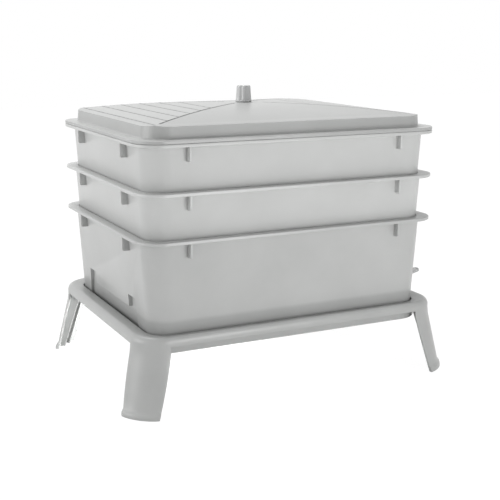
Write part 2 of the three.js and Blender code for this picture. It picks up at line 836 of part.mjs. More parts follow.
function tapORing() {
  const profile = [];
  const sides = 6;
  for (let step = 0; step <= sides; step++) {
    const turn = 2 * Math.PI * step / sides;
    profile.push(new THREE.Vector2(
      oRingRadius + oRingSection * Math.cos(turn),
      oRingSection * Math.sin(turn),
    ));
  }
  const geometry = new THREE.LatheGeometry(profile, roundSteps);
  return solidOf(geometry.rotateX(Math.PI / 2).translate(plugX, tapOffset, oRingZ));
}

// The whole part, with its origin on the floor under the middle of its outer box
const group = new THREE.Group();

function place(name, solid, material) {
  const mesh = new THREE.Mesh(geometryOf(solid), material);
  mesh.name = name;
  group.add(mesh);
}

place("stand", stand(), bodyGrey);
place("collector", collector(), bodyGrey);
place("lower_tray", tray(lowerRim), trayGrey);
place("upper_tray", tray(upperRim), trayGrey);
place("lid", lid(), lidGrey);
place("lid_knob", knob(), knobGrey);
place("knob_washer", knobWasher(), steel);
place("knob_screw", knobScrew(), steel);
place("tap_body", tapBody(), tapGrey);
place("tap_gasket_outer", sealRing(outerSealX), sealBlack);
place("tap_gasket_inner", sealRing(innerSealX), sealBlack);
place("tap_nut", tapNut(), tapGrey);
place("tap_plug", tapPlug(), tapGrey);
place("tap_o_ring", tapORing(), sealBlack);

const box = new THREE.Box3().setFromObject(group);
group.position.x = -(box.min.x + box.max.x) / 2;
group.position.y = -(box.min.y + box.max.y) / 2;

export default group;
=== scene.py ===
"""A stacking wormery: its moulded shells, its tap and the light of a plain studio."""

import math

import bmesh
import bpy
from mathutils import Matrix, Vector


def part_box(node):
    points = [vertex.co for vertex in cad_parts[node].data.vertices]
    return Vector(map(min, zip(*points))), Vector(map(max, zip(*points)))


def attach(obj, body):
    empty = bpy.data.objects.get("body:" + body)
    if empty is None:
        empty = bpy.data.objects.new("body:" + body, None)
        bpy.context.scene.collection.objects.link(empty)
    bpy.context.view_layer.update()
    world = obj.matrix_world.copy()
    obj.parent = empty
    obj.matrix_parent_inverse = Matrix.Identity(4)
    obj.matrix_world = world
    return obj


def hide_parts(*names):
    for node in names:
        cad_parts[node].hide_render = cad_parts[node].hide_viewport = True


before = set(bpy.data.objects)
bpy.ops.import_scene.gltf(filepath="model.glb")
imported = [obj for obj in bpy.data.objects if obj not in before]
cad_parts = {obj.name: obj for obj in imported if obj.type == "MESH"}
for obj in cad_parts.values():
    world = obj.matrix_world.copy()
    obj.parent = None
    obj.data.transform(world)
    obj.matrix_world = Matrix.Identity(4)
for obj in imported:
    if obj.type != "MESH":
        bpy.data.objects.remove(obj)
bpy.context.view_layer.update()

MM = 0.001

# Sizes are in millimetres, apart from shares, steps and counts
REST_GAP = 0.3  # where one piece rests on another
OVERRUN = 1.0  # of a cutter past what it cuts
ROOT = 0.6  # of a plate into the wall that carries it
HAIR = 0.05
CLOSE = 0.01  # two places nearer than this are one
UPWARDS = 0.5  # a face's normal has at least this share upwards
THIN_ROUND = 0.35
MOULD_ROUND = 0.4
PLATE_TURN = 50.0  # degrees by which an edge turns before it is rounded
WALL_TURN = 60.0
SMOOTH_TURN = 35.0
ROUND_CUTS = 2

# Rims
RIM_HALF_X = 190.5
RIM_HALF_Y = 150.0
RIM_CORNER = 30.0
RIM_REACH = 9.25
LIP_HEIGHT = 3.7
LIP_THICKNESS = 2.4
RIM_PLATE = 2.4
RIM_FILLET = 4.5
EDGE_ROUND = 0.7

# Walls and floors
WALL = 2.5
WALL_CORNER = 29.0
NEST_CLEARANCE = 0.64
RIM_PITCH = 52.4
TRAY_DEPTH = 75.3
FLOOR_THICKNESS = 2.6
FOOT_ROUND = 3.0
INNER_ROUND = 1.5
DRAIN_HOLE = 9.0
DRAIN_COLUMNS = 8
DRAIN_ROWS = 5
DRAIN_MARGIN = 30.0

# Gusset plates under the rims, and stops inside the walls
RIB_THICKNESS = 2.5
RIB_DROP = 18.5
RIB_SETBACK = 1.8
RIB_CHAMFER = 2.2
RIB_ON_SHORT = 77.0
RIB_ON_LONG = 134.0
STOP_REACH = 8.0
STOP_HEIGHT = 36.0
STOP_ON_SHORT = 52.0
STOP_ON_LONG = 88.0
RIB_CHAMFER_CUTS = 3

# Collector
COLLECTOR_HEIGHT = 123.4
BAND_TOP = 35.0
BAND_DEPTH = 4.3
NOTCH_TOP = 49.5
NOTCH_HALF_TOP = 11.5
NOTCH_HALF_FOOT = 18.0
NOTCH_OFFSET = 71.0

# Stand
DECK = 67.7
DECK_THICKNESS = 2.4
DECK_RIB = 7.0
DECK_RIB_INSET = 36.0
PAN_CLEARANCE = 1.6
PAN_WALL = 2.5
PAN_ROUND = 3.5
FLANGE_REACH = 16.7
FLANGE_SWELL = 13.0
FLANGE_CORNER = 35.0
FLANGE_UNDER = 10.0
FLANGE_EDGE = 3.2
CREST_RISE = 21.0
CREST_WIDTH = 3.6
SHOULDER_RUN = 4.5
LEAD_DROP = 2.0
# Inside the flange, past a wall's thickness: below the lead-in, the crest and the shoulder, in
# from the shoulder and from the edge, and up from the edge
UNDER_LEAD = 1.2
UNDER_CREST = 0.6
UNDER_SHOULDER = 0.8
SHOULDER_IN = 1.0
EDGE_IN = 0.8
EDGE_UP = 2.6
# Over the crest: in from its inner end and down from its top
CREST_ROUND = ((-0.5, 0.2), (0.8, 0.5))
# Where the lead-in turns down: in from the pan, above the turn and below it
TURN_IN = 0.3
TURN_ABOVE = 0.2
TURN_BELOW = 0.8

# Legs
LEG_SPAN_TOP = 90.0  # degrees
LEG_SPAN_FOOT = 54.0
LEG_EASE = 0.12  # share of the leg's height
LEG_RIB_TURN = 0.36  # share of the half span
LEG_RIB_TOP = 15.0
LEG_RIB_FOOT = 6.0
FOOT_ARC = 49.0
FOOT_OUT_X = 4.1
FOOT_OUT_Y = -0.95
BEAD_HEIGHT = 8.2
BEAD_PROUD = 2.0
BEAD_LEAD = 1.6
# Height above the floor, and share of the bead's full swell
BEAD_PROFILE = (
    (8.2, 0.12),
    (7.2, 0.4),
    (6.2, 0.75),
    (5.2, 0.95),
    (4.0, 1.0),
    (2.0, 1.0),
    (1.0, 0.9),
    (0.3, 0.7),
    (0.0, 0.5),
)
LEG_LEVELS = 8

# Lid
SKIRT_HEIGHT = 15.0
SKIRT_INSET = 14.4
SKIRT_FLARE = 1.0
SKIRT_FILLET = 1.5
EAVE_CORNER = 26.0
EAVE_ROUND = 1.6
EAVE_CUTS = 4
LID_RISE = 12.5
LID_SHELL = 2.5
LID_BOW = 2.1  # power of the bow
ROOF_REACH = 1.2  # shares of the eave's size
ROOF_TIP = 0.03
HOLLOW_CORNER = 1.2
HOLLOW_SHARPENING = 8  # power by which its corners tighten towards the middle
HOLLOW_ROUNDEST = 0.9  # share of its half width
PLUG_DEPTH = 9.0
PLUG_WALL = 2.2
PLUG_CLEARANCE = 0.9
GROOVE_WIDTH = 1.4
GROOVE_DEPTH = 1.5
GROOVE_COUNT = 6
GROOVE_START = 0.94  # shares of the way from the middle to the eave
GROOVE_STEP = 0.112
HIP_WIDTH = 2.6
HIP_START = 0.94
HIP_END = 0.085
EDGE_OFF_HIP = 0.004  # shares by which an edge and a strip may stray from the hip
STRIP_OFF_HIP = 0.02
OFF_ROOF = 0.3

# Knob
KNOB_HEIGHT = 20.0
KNOB_BASE = 10.0
KNOB_TOP = 8.3
# Past the base's radius, and above the foot; past the top's radius, and below the top
KNOB_FOOT = ((-0.4, 0.0), (0.0, 0.4), (0.0, 1.6), (-0.35, 2.4), (-0.6, 4.0), (-1.1, 10.0))
KNOB_CROWN = ((0.2, 3.0), (0.0, 1.4), (-0.4, 0.6), (-1.2, 0.2), (-2.6, 0.0))
KNOB_TIP = 1.0
KNOB_BORE = 2.3
KNOB_BORE_LENGTH = 20.0  # through the lid
KNOB_GRIP = 12.3
KNOB_SMOOTH_TURN = 50.0
FLUTES = 8
FLUTE_STEPS = 8
# Steps off a flute's middle, and share of the radius that is left there
FLUTE_CUT = ((0, 0.85), (1, 0.88), (2, 0.95))
FLUTE_LOW = 1.9
FLUTE_BELOW_TOP = 0.5

# Tap
TAP_Y = -48.0
TAP_LIFT = 16.0
TAP_SHANK = 7.5
TAP_PASSAGE = 4.2
TAP_COLLAR = 12.6
TAP_COLLAR_THICKNESS = 3.0
SEAL_THICKNESS = 2.0
NUT_THICKNESS = 5.0
SHANK_END = 2.0
TAP_BARREL = 8.0
TAP_THROW = 41.3
HOUSING = 9.0
HOUSING_ABOVE = 9.0
HOUSING_BELOW = 12.0
# Past the housing's radius, and above its foot or below its top
HOUSING_FOOT = ((-0.8, 0.0), (0.0, 1.2))
HOUSING_CROWN = ((0.0, 2.4), (0.0001, 0.6), (-0.6, 0.0))
PLUG = 6.0
PLUG_CORE = 3.9
PLUG_END = 5.0
RING_BELOW_TOP = 2.8
RING_GROOVE_HALF = 1.0
RING_GROOVE_DEPTH = 2.0
SPOUT_TOP = 7.0
SPOUT_TIP = 5.8
SPOUT_LENGTH = 16.0
SPOUT_SHOULDER = 1.5
SPOUT_TIP_IN = 0.3
SPOUT_TIP_UP = 0.4
HUB = 8.6
HUB_HEIGHT = 4.0
# Past the hub's radius, and above its foot or below its top
HUB_FOOT = ((-0.4, 0.0), (0.0, 0.5))
HUB_CROWN = ((0.0, 1.2), (-0.4, 0.4), (-1.4, 0.0))
LEVER_REACH = 25.6
LEVER_HALF_ROOT = 4.6
LEVER_HALF_TIP = 6.6
LEVER_TIP_ROUND = 0.92  # share of the tip's half width
LEVER_THICKNESS = 3.0
LEVER_RISE = 15.0  # degrees
LEVER_BORDER = 1.3
LEVER_ROUND = 0.5
LEVER_CUTS = 3
DISH_SLOPE = 0.5
DISH_DEPTH = 0.9
TAP_GAP_SIDE = 4.4
TAP_GAP_BELOW = 1.4

# Steps round a corner or a circle, and through a quarter turn or a slope
CORNER_STEPS = 20
ROUND_STEPS = 48
DRILL_STEPS = 24
KNOB_BORE_STEPS = 32
LEVER_TIP_STEPS = 10
FOOT_STEPS = 4
FILLET_STEPS = 5
EDGE_STEPS = 3
PAN_STEPS = 6
SEAT_STEPS = 5
SHOULDER_STEPS = 8
ROOF_STEPS = 28
HOLLOW_STEPS = 8

# Places that follow from the sizes and from the frame
collector_low, collector_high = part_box("collector")
CENTRE_X = (collector_low.x + collector_high.x) / 2 / MM
CENTRE_Y = (collector_low.y + collector_high.y) / 2 / MM
DRAFT = (WALL + NEST_CLEARANCE) / RIM_PITCH
WALL_HALF_X = RIM_HALF_X - RIM_REACH
WALL_HALF_Y = RIM_HALF_Y - RIM_REACH
COLLECTOR_Z = DECK + REST_GAP
COLLECTOR_RIM = COLLECTOR_Z + COLLECTOR_HEIGHT
LOWER_RIM = COLLECTOR_RIM + RIM_PITCH
UPPER_RIM = LOWER_RIM + RIM_PITCH
LID_RIM = UPPER_RIM + LIP_HEIGHT + REST_GAP
EAVE_Z = LID_RIM + SKIRT_HEIGHT
EAVE_HALF_X = RIM_HALF_X - SKIRT_INSET
EAVE_HALF_Y = RIM_HALF_Y - SKIRT_INSET + SKIRT_FLARE
KNOB_Z = EAVE_Z + LID_RISE + REST_GAP
SEAT_X = WALL_HALF_X - DRAFT * (COLLECTOR_HEIGHT - BAND_TOP) - BAND_DEPTH
TAP_Z = COLLECTOR_Z + TAP_LIFT
PLUG_X = SEAT_X + TAP_THROW
CREST_Z = DECK + CREST_RISE
PAN_INSET = DRAFT * (COLLECTOR_RIM - CREST_Z) - PAN_CLEARANCE
PAN_HALF_X = WALL_HALF_X - PAN_INSET
PAN_HALF_Y = WALL_HALF_Y - PAN_INSET
PAN_CORNER = WALL_CORNER - PAN_INSET
FLANGE_HALF_X = PAN_HALF_X + PAN_WALL + FLANGE_REACH
FLANGE_HALF_Y = PAN_HALF_Y + PAN_WALL + FLANGE_SWELL
FLANGE_LOW = DECK + FLANGE_UNDER
COLLAR_X = SEAT_X + REST_GAP + SEAL_THICKNESS + REST_GAP
NUT_X = SEAT_X - WALL - REST_GAP - SEAL_THICKNESS - REST_GAP - NUT_THICKNESS
HOUSING_TOP = TAP_Z + HOUSING_ABOVE
HOUSING_LOW = TAP_Z - HOUSING_BELOW
BORE_FLOOR = HOUSING_LOW + 2 * REST_GAP


def rest():
    """Back to object mode with nothing selected."""
    if bpy.context.mode != "OBJECT":
        bpy.ops.object.mode_set(mode="OBJECT")
    bpy.ops.object.select_all(action="DESELECT")


def take(piece):
    """The piece alone is selected and active, in object mode."""
    rest()
    piece.select_set(True)
    bpy.context.view_layer.objects.active = piece


def edit(piece):
    """The piece is open in edit mode with all of it selected."""
    take(piece)
    bpy.ops.object.mode_set(mode="EDIT")
    bpy.ops.mesh.select_all(action="SELECT")


def pick(piece, kind, test):
    """In edit mode, selects the corners, edges or faces that pass the test."""
    bpy.ops.mesh.select_all(action="DESELECT")
    bpy.ops.mesh.select_mode(type=kind)
    mesh = bmesh.from_edit_mesh(piece.data)
    mesh.verts.index_update()
    parts = {"VERT": mesh.verts, "EDGE": mesh.edges, "FACE": mesh.faces}[kind]
    chosen = [part for part in parts if test(part)]
    for part in chosen:
        part.select_set(True)
    bmesh.update_edit_mesh(piece.data)


def sink(depth):
    """In edit mode, draws the chosen faces straight down, with walls after them."""
    bpy.ops.mesh.extrude_region_move(TRANSFORM_OT_translate={"value": (0, 0, -depth * MM)})


def settle(piece):
    """Puts the place, turn and size of the object into its mesh."""
    take(piece)
    bpy.ops.object.transform_apply(location=True, rotation=True, scale=True)
    return piece


def outline(half_x, half_y, corner, z):
    """A rectangle with rounded corners, lying flat at one height, as a loop of edges."""
    rest()
    bpy.ops.mesh.primitive_plane_add(size=2, location=(CENTRE_X * MM, CENTRE_Y * MM, z * MM))
    ring = bpy.context.object
    ring.scale = (half_x * MM, half_y * MM, 1)
    settle(ring)
    edit(ring)
    if corner:
        bpy.ops.mesh.bevel(
            offset=corner * MM, offset_type="OFFSET", segments=CORNER_STEPS, affect="VERTICES"
        )
    bpy.ops.mesh.delete(type="ONLY_FACE")
    rest()
    return ring


def circle(radius, z, x=CENTRE_X, y=CENTRE_Y, steps=ROUND_STEPS):
    """A flat circle as a loop of edges."""
    rest()
    place = (x * MM, y * MM, z * MM)
    bpy.ops.mesh.primitive_circle_add(vertices=steps, radius=radius * MM, location=place)
    return settle(bpy.context.object)


def join(piece, others):
    """One object from several."""
    for other in others:
        take(piece)
        other.select_set(True)
        bpy.ops.object.join()
    return piece


def face_out(piece):
    """Turns every face of a closed shell outwards."""
    edit(piece)
    bpy.ops.mesh.normals_make_consistent(inside=False)
    rest()
    return piece


def loft(name, rings):
    """A skin bridged from loop to loop, with a face across the first loop and the last."""
    count = len(rings[0].data.vertices)
    last_ring = len(rings) - 1
    for before, ring in zip(rings, rings[1:]):
        # Loops at one height can be bridged with a twist, so the later one drops by a hair
        if abs(before.data.vertices[0].co.z - ring.data.vertices[0].co.z) < HAIR / 10 * MM:
            ring.location.z -= HAIR * MM
            settle(ring)
    piece = join(rings[0], rings[1:])
    piece.name = name
    piece.data.name = name
    edit(piece)

    def on(first, last):
        def test(edge):
            loops = {corner.index // count for corner in edge.verts}
            return len(loops) == 1 and first <= min(loops) <= last

        return test

    for step in range(last_ring):
        pick(piece, "EDGE", on(step, step + 1))
        bpy.ops.mesh.bridge_edge_loops()
    for ring in (0, last_ring):
        pick(piece, "EDGE", on(ring, ring))
        bpy.ops.mesh.edge_face_add()
    rest()
    return face_out(piece)


def block(name, low, high):
    """A box between two corners, in millimetres."""
    rest()
    middle = [(a + b) / 2 * MM for a, b in zip(low, high)]
    bpy.ops.mesh.primitive_cube_add(size=1, location=middle)
    box = bpy.context.object
    box.name = name
    box.scale = [(b - a) * MM for a, b in zip(low, high)]
    return settle(box)


def apply_modifiers(piece):
    take(piece)
    for modifier in list(piece.modifiers):
        bpy.ops.object.modifier_apply(modifier=modifier.name)
    return piece


def combine(piece, other, operation):
    """Cuts the piece with the other, or joins or keeps what they share."""
    modifier = piece.modifiers.new("shape", "BOOLEAN")
    modifier.operation = operation
    modifier.solver = "EXACT"
    modifier.object = other
    apply_modifiers(piece)
    bpy.data.objects.remove(other)
    return piece


def soften(piece, width, cuts, angle):
    """Rounds every edge that turns more sharply than the angle."""
    modifier = piece.modifiers.new("edge round", "BEVEL")
    modifier.width = width * MM
    modifier.segments = cuts
    modifier.limit_method = "ANGLE"
    modifier.angle_limit = math.radians(angle)
    return apply_modifiers(piece)


def smooth(piece, angle=SMOOTH_TURN, wide_faces_lead=False):
    """Smooth shading. Where wide faces lead, an edge's rounding doesn't darken the face beside
    it."""
    take(piece)
    bpy.ops.object.shade_smooth_by_angle(angle=math.radians(angle))
    if wide_faces_lead:
        modifier = piece.modifiers.new("wide faces lead", "WEIGHTED_NORMAL")
        modifier.keep_sharp = True
        apply_modifiers(piece)
    rest()
    return piece


# Walls and rims
def wall_loop(inset, z):
    return outline(WALL_HALF_X - inset, WALL_HALF_Y - inset, WALL_CORNER - inset, z)


def rim_loop(inset, z):
    corner = RIM_CORNER + (WALL_CORNER - RIM_CORNER) * inset / RIM_REACH
    return outline(RIM_HALF_X - inset, RIM_HALF_Y - inset, corner, z)


def quarter(steps):
    """Sine and cosine through a quarter turn, ends left out."""
    for step in range(1, steps):
        angle = math.pi / 2 * step / steps
        yield math.sin(angle), math.cos(angle)


def rim_edge(low, high):
    """Round a rim's edge from its underside to its top."""
    loops = [
        rim_loop(EDGE_ROUND / 2, low),
        rim_loop(0, low + EDGE_ROUND / 2),
        rim_loop(0, high - EDGE_ROUND),
    ]
    for up, out in quarter(EDGE_STEPS):
        loops.append(rim_loop(EDGE_ROUND * (1 - out), high - EDGE_ROUND * (1 - up)))
    loops.append(rim_loop(EDGE_ROUND, high))
    return loops


def outer_loops(rim_z, depth):
    """From the underside of the floor up the outside to the top of the rim's edge."""
    foot = DRAFT * depth
    low = rim_z - LIP_HEIGHT / 2
    high = rim_z + LIP_HEIGHT / 2
    plate = high - RIM_PLATE
    base = rim_z - depth
    loops = [wall_loop(foot + FOOT_ROUND, base)]
    for up, out in quarter(FOOT_STEPS):
        loops.append(wall_loop(foot + FOOT_ROUND * (1 - up), base + FOOT_ROUND * (1 - out)))
    loops.append(wall_loop(foot - DRAFT * FOOT_ROUND, base + FOOT_ROUND))
    loops.append(wall_loop(DRAFT * (rim_z - plate + RIM_FILLET), plate - RIM_FILLET))
    for up, out in quarter(FILLET_STEPS):
        loops.append(wall_loop(-RIM_FILLET * (1 - out), plate - RIM_FILLET * (1 - up)))
    loops.append(wall_loop(-RIM_FILLET, plate))
    loops.append(rim_loop(LIP_THICKNESS, plate))
    loops.append(rim_loop(LIP_THICKNESS, low))
    return loops + rim_edge(low, high)


def inner_loops(rim_z, depth):
    """From the rim's inner edge down the inside to the top of the floor."""
    high = rim_z + LIP_HEIGHT / 2
    floor = rim_z - depth + FLOOR_THICKNESS
    foot = WALL + DRAFT * (rim_z - floor)
    loops = [wall_loop(WALL - EDGE_ROUND, high)]
    for up, out in quarter(EDGE_STEPS):
        loops.append(wall_loop(WALL - EDGE_ROUND * (1 - up), high - EDGE_ROUND * (1 - out)))
    loops.append(wall_loop(WALL, high - EDGE_ROUND))
    loops.append(wall_loop(foot - DRAFT * INNER_ROUND, floor + INNER_ROUND))
    for up, out in quarter(FOOT_STEPS):
        loops.append(wall_loop(foot + INNER_ROUND * (1 - out), floor + INNER_ROUND * (1 - up)))
    loops.append(wall_loop(foot + INNER_ROUND, floor))
    return loops


def on_each_side(short_offset, long_offset, make):
    """Calls make(side, along, half) for two places on each of the four sides, and joins what it
    makes, with its edges rounded."""
    made = []
    for side in range(4):
        on_short = side % 2 == 0
        for sign in (-1, 1):
            along = sign * (short_offset if on_short else long_offset)
            made.append(make(side, along, WALL_HALF_X if on_short else WALL_HALF_Y))
    return soften(join(made[0], made[1:]), THIN_ROUND, ROUND_CUTS, PLATE_TURN)


def side_plate(name, inner, outer, low, high, side, along, shape):
    """A thin upright plate on a side wall, shaped in edit mode before it is turned to its side."""
    half = RIB_THICKNESS / 2
    plate = block(name, (inner, -half, low), (outer, half, high))
    edit(plate)
    shape(plate)
    rest()
    turn = side * math.pi / 2
    plate.rotation_euler.z = turn
    offset = Matrix.Rotation(turn, 3, "Z") @ Vector((0, along * MM, 0))
    plate.location = Vector((CENTRE_X, CENTRE_Y, 0)) * MM + offset
    return settle(plate)


def gussets(rim_z):
    """Plates under the rim that stiffen it against the wall."""
    top = rim_z + LIP_HEIGHT / 2 - RIM_PLATE + ROOT
    low = rim_z - RIB_DROP

    def make(side, along, half):
        outer = half + RIM_REACH - RIB_SETBACK

        def shape(plate):
            def at_foot(edge):
                places = [vert.co / MM for vert in edge.verts]
                return all(abs(v.x - outer) < CLOSE and abs(v.z - low) < CLOSE for v in places)

            pick(plate, "EDGE", at_foot)
            bpy.ops.mesh.bevel(
                offset=RIB_CHAMFER * MM, segments=RIB_CHAMFER_CUTS, affect="EDGES"
            )

        inner = half - DRAFT * RIB_DROP - ROOT
        return side_plate("gusset", inner, outer, low, top, side, along, shape)

    return on_each_side(RIB_ON_SHORT, RIB_ON_LONG, make)


def stops(rim_z):
    """Plates inside the wall that carry the tray above."""
    top = rim_z + RIM_PITCH - TRAY_DEPTH - REST_GAP
    low = top - STOP_HEIGHT

    def make(side, along, half):
        face = half - WALL - DRAFT * (rim_z - top)
        back = half - WALL - DRAFT * (rim_z - low)

        def at_inner_foot(vert):
            return abs(vert.co.z / MM - low) < CLOSE and vert.co.x / MM < back

        def shape(plate):
            pick(plate, "VERT", at_inner_foot)
            bpy.ops.transform.translate(value=((back - face + STOP_REACH) * MM, 0, 0))

        return side_plate("stop", face - STOP_REACH, back + ROOT, low, top, side, along, shape)

    return on_each_side(STOP_ON_SHORT, STOP_ON_LONG, make)


def drain_holes(rim_z):
    """Round bars where the floor is drilled."""
    reach_x = WALL_HALF_X - DRAFT * TRAY_DEPTH - DRAIN_MARGIN
    reach_y = WALL_HALF_Y - DRAFT * TRAY_DEPTH - DRAIN_MARGIN
    rest()
    bpy.ops.mesh.primitive_cylinder_add(
        vertices=DRILL_STEPS,
        radius=DRAIN_HOLE / 2 * MM,
        depth=(FLOOR_THICKNESS + 2 * OVERRUN) * MM,
        location=(
            (CENTRE_X - reach_x) * MM,
            (CENTRE_Y - reach_y) * MM,
            (rim_z - TRAY_DEPTH + FLOOR_THICKNESS / 2) * MM,
        ),
    )
    drill = settle(bpy.context.object)
    rows = ((DRAIN_COLUMNS, (2 * reach_x, 0, 0)), (DRAIN_ROWS, (0, 2 * reach_y, 0)))
    for count, span in rows:
        row = drill.modifiers.new("row", "ARRAY")
        row.count = count
        row.use_relative_offset = False
        row.use_constant_offset = True
        row.constant_offset_displace = [length * MM / (count - 1) for length in span]
    return apply_modifiers(drill)


def make_tray(name, rim_z):
    shell = loft(name, outer_loops(rim_z, TRAY_DEPTH) + inner_loops(rim_z, TRAY_DEPTH))
    combine(shell, drain_holes(rim_z), "DIFFERENCE")
    return smooth(join(shell, [gussets(rim_z), stops(rim_z)]))


def band_cutter(side, grow):
    """The set-back band low on a short side with its two taller notches, grown by some amount."""
    near = SEAT_X - grow
    far = RIM_HALF_X + OVERRUN
    low = COLLECTOR_Z - OVERRUN - grow
    half = NOTCH_OFFSET + NOTCH_HALF_TOP + grow
    cutter = block("band", (near, -half, low), (far, half, COLLECTOR_Z + BAND_TOP + grow))
    for sign in (-1, 1):
        notch = block(
            "notch",
            (near, sign * NOTCH_OFFSET - NOTCH_HALF_TOP - grow, low),
            (far, sign * NOTCH_OFFSET + NOTCH_HALF_TOP + grow, COLLECTOR_Z + NOTCH_TOP + grow),
        )

        def at_outer_foot(vert):
            outside = (vert.co.y / MM - sign * NOTCH_OFFSET) * sign > 0
            return outside and vert.co.z / MM < low + OVERRUN

        edit(notch)
        pick(notch, "VERT", at_outer_foot)
        bpy.ops.transform.translate(value=(0, sign * (NOTCH_HALF_FOOT - NOTCH_HALF_TOP) * MM, 0))
        rest()
        combine(cutter, notch, "UNION")
    cutter.rotation_euler.z = side * math.pi
    cutter.location = (CENTRE_X * MM, CENTRE_Y * MM, 0)
    return settle(cutter)


def make_collector():
    outer = loft("collector_shell", outer_loops(COLLECTOR_RIM, COLLECTOR_HEIGHT))
    inside = inner_loops(COLLECTOR_RIM, COLLECTOR_HEIGHT)
    inside.insert(0, wall_loop(WALL - EDGE_ROUND, COLLECTOR_RIM + LIP_HEIGHT / 2 + OVERRUN))
    inner = loft("collector_inside", inside)
    for side in (0, 1):
        combine(outer, band_cutter(side, 0), "DIFFERENCE")
        combine(inner, band_cutter(side, WALL), "DIFFERENCE")
    combine(outer, inner, "DIFFERENCE")
    bore = bar("bore", TAP_SHANK + REST_GAP, SEAT_X - WALL - OVERRUN, SEAT_X + OVERRUN)
    combine(outer, bore, "DIFFERENCE")
    soften(outer, THIN_ROUND, ROUND_CUTS, WALL_TURN)
    return smooth(join(outer, [gussets(COLLECTOR_RIM), stops(COLLECTOR_RIM)]))


# Stand
def flange_loop(inset, z):
    share = inset / FLANGE_REACH
    corner = FLANGE_CORNER + (PAN_CORNER + PAN_WALL - FLANGE_CORNER) * share
    return outline(FLANGE_HALF_X - inset, FLANGE_HALF_Y - FLANGE_SWELL * share, corner, z)


def pan_loop(z, inset=0.0):
    return outline(PAN_HALF_X - inset, PAN_HALF_Y - inset, PAN_CORNER - inset, z)


def pan_and_flange():
    """From the underside of the deck up outside the pan, round under the flange, over its crest
    and down into the pan."""
    foot = DECK - DECK_THICKNESS
    seat_round = PAN_ROUND - PAN_WALL
    edge_top = FLANGE_LOW + FLANGE_EDGE
    crest_in = SHOULDER_RUN + CREST_WIDTH
    crest_middle = SHOULDER_RUN + CREST_WIDTH / 2
    lead_end = CREST_Z - LEAD_DROP
    inner_top = CREST_Z - PAN_WALL

    def edge(inset, z):
        return outline(FLANGE_HALF_X - inset, FLANGE_HALF_Y - inset, FLANGE_CORNER - inset, z)

    loops = [pan_loop(foot, seat_round)]
    for up, out in quarter(PAN_STEPS):
        loops.append(pan_loop(foot + PAN_ROUND * (1 - out), PAN_ROUND * (1 - up) - PAN_WALL))
    loops += [
        pan_loop(foot + PAN_ROUND, -PAN_WALL),
        pan_loop(lead_end - PAN_WALL - UNDER_LEAD, -PAN_WALL),
        flange_loop(crest_in, inner_top - UNDER_CREST),
        flange_loop(SHOULDER_RUN + SHOULDER_IN, inner_top - UNDER_SHOULDER),
        flange_loop(PAN_WALL + EDGE_IN, edge_top + EDGE_UP),
        edge(PAN_WALL, edge_top),
        edge(PAN_WALL, FLANGE_LOW),
        edge(0, FLANGE_LOW),
        flange_loop(0, edge_top),
    ]
    rise = CREST_Z - edge_top
    for up, out in quarter(SHOULDER_STEPS):
        loops.append(flange_loop(crest_middle * (1 - out), edge_top + rise * up))
    loops.append(flange_loop(crest_middle, CREST_Z))
    loops += [flange_loop(crest_in + inward, CREST_Z - down) for inward, down in CREST_ROUND]
    loops += [
        pan_loop(lead_end + TURN_ABOVE, -TURN_IN),
        pan_loop(lead_end - TURN_BELOW),
        pan_loop(DECK + seat_round),
    ]
    for up, out in quarter(SEAT_STEPS):
        loops.append(pan_loop(DECK + seat_round * (1 - up), seat_round * (1 - out)))
    loops.append(pan_loop(DECK, seat_round))
    return loft("stand_shell", loops)


def leg_share(z):
    """How far a leg has opened out at a height, easing in below the flange."""
    share = 1 - z / FLANGE_LOW
    if share < LEG_EASE:
        return share**2 / (2 * LEG_EASE)
    return LEG_EASE / 2 + (share - LEG_EASE) * (1 - LEG_EASE / 2) / (1 - LEG_EASE)


def leg_arc(z):
    """Centre, radius and half span of the leg's outer face at a height, from the box's middle."""
    share = leg_share(z)
    x = FLANGE_HALF_X - FLANGE_CORNER + FOOT_OUT_X * share
    y = FLANGE_HALF_Y - FLANGE_CORNER + FOOT_OUT_Y * share
    radius = FLANGE_CORNER + (FOOT_ARC - FLANGE_CORNER) * share
    span = LEG_SPAN_TOP + (LEG_SPAN_FOOT - LEG_SPAN_TOP) * share
    return Vector((x, y)), radius, math.radians(span) / 2


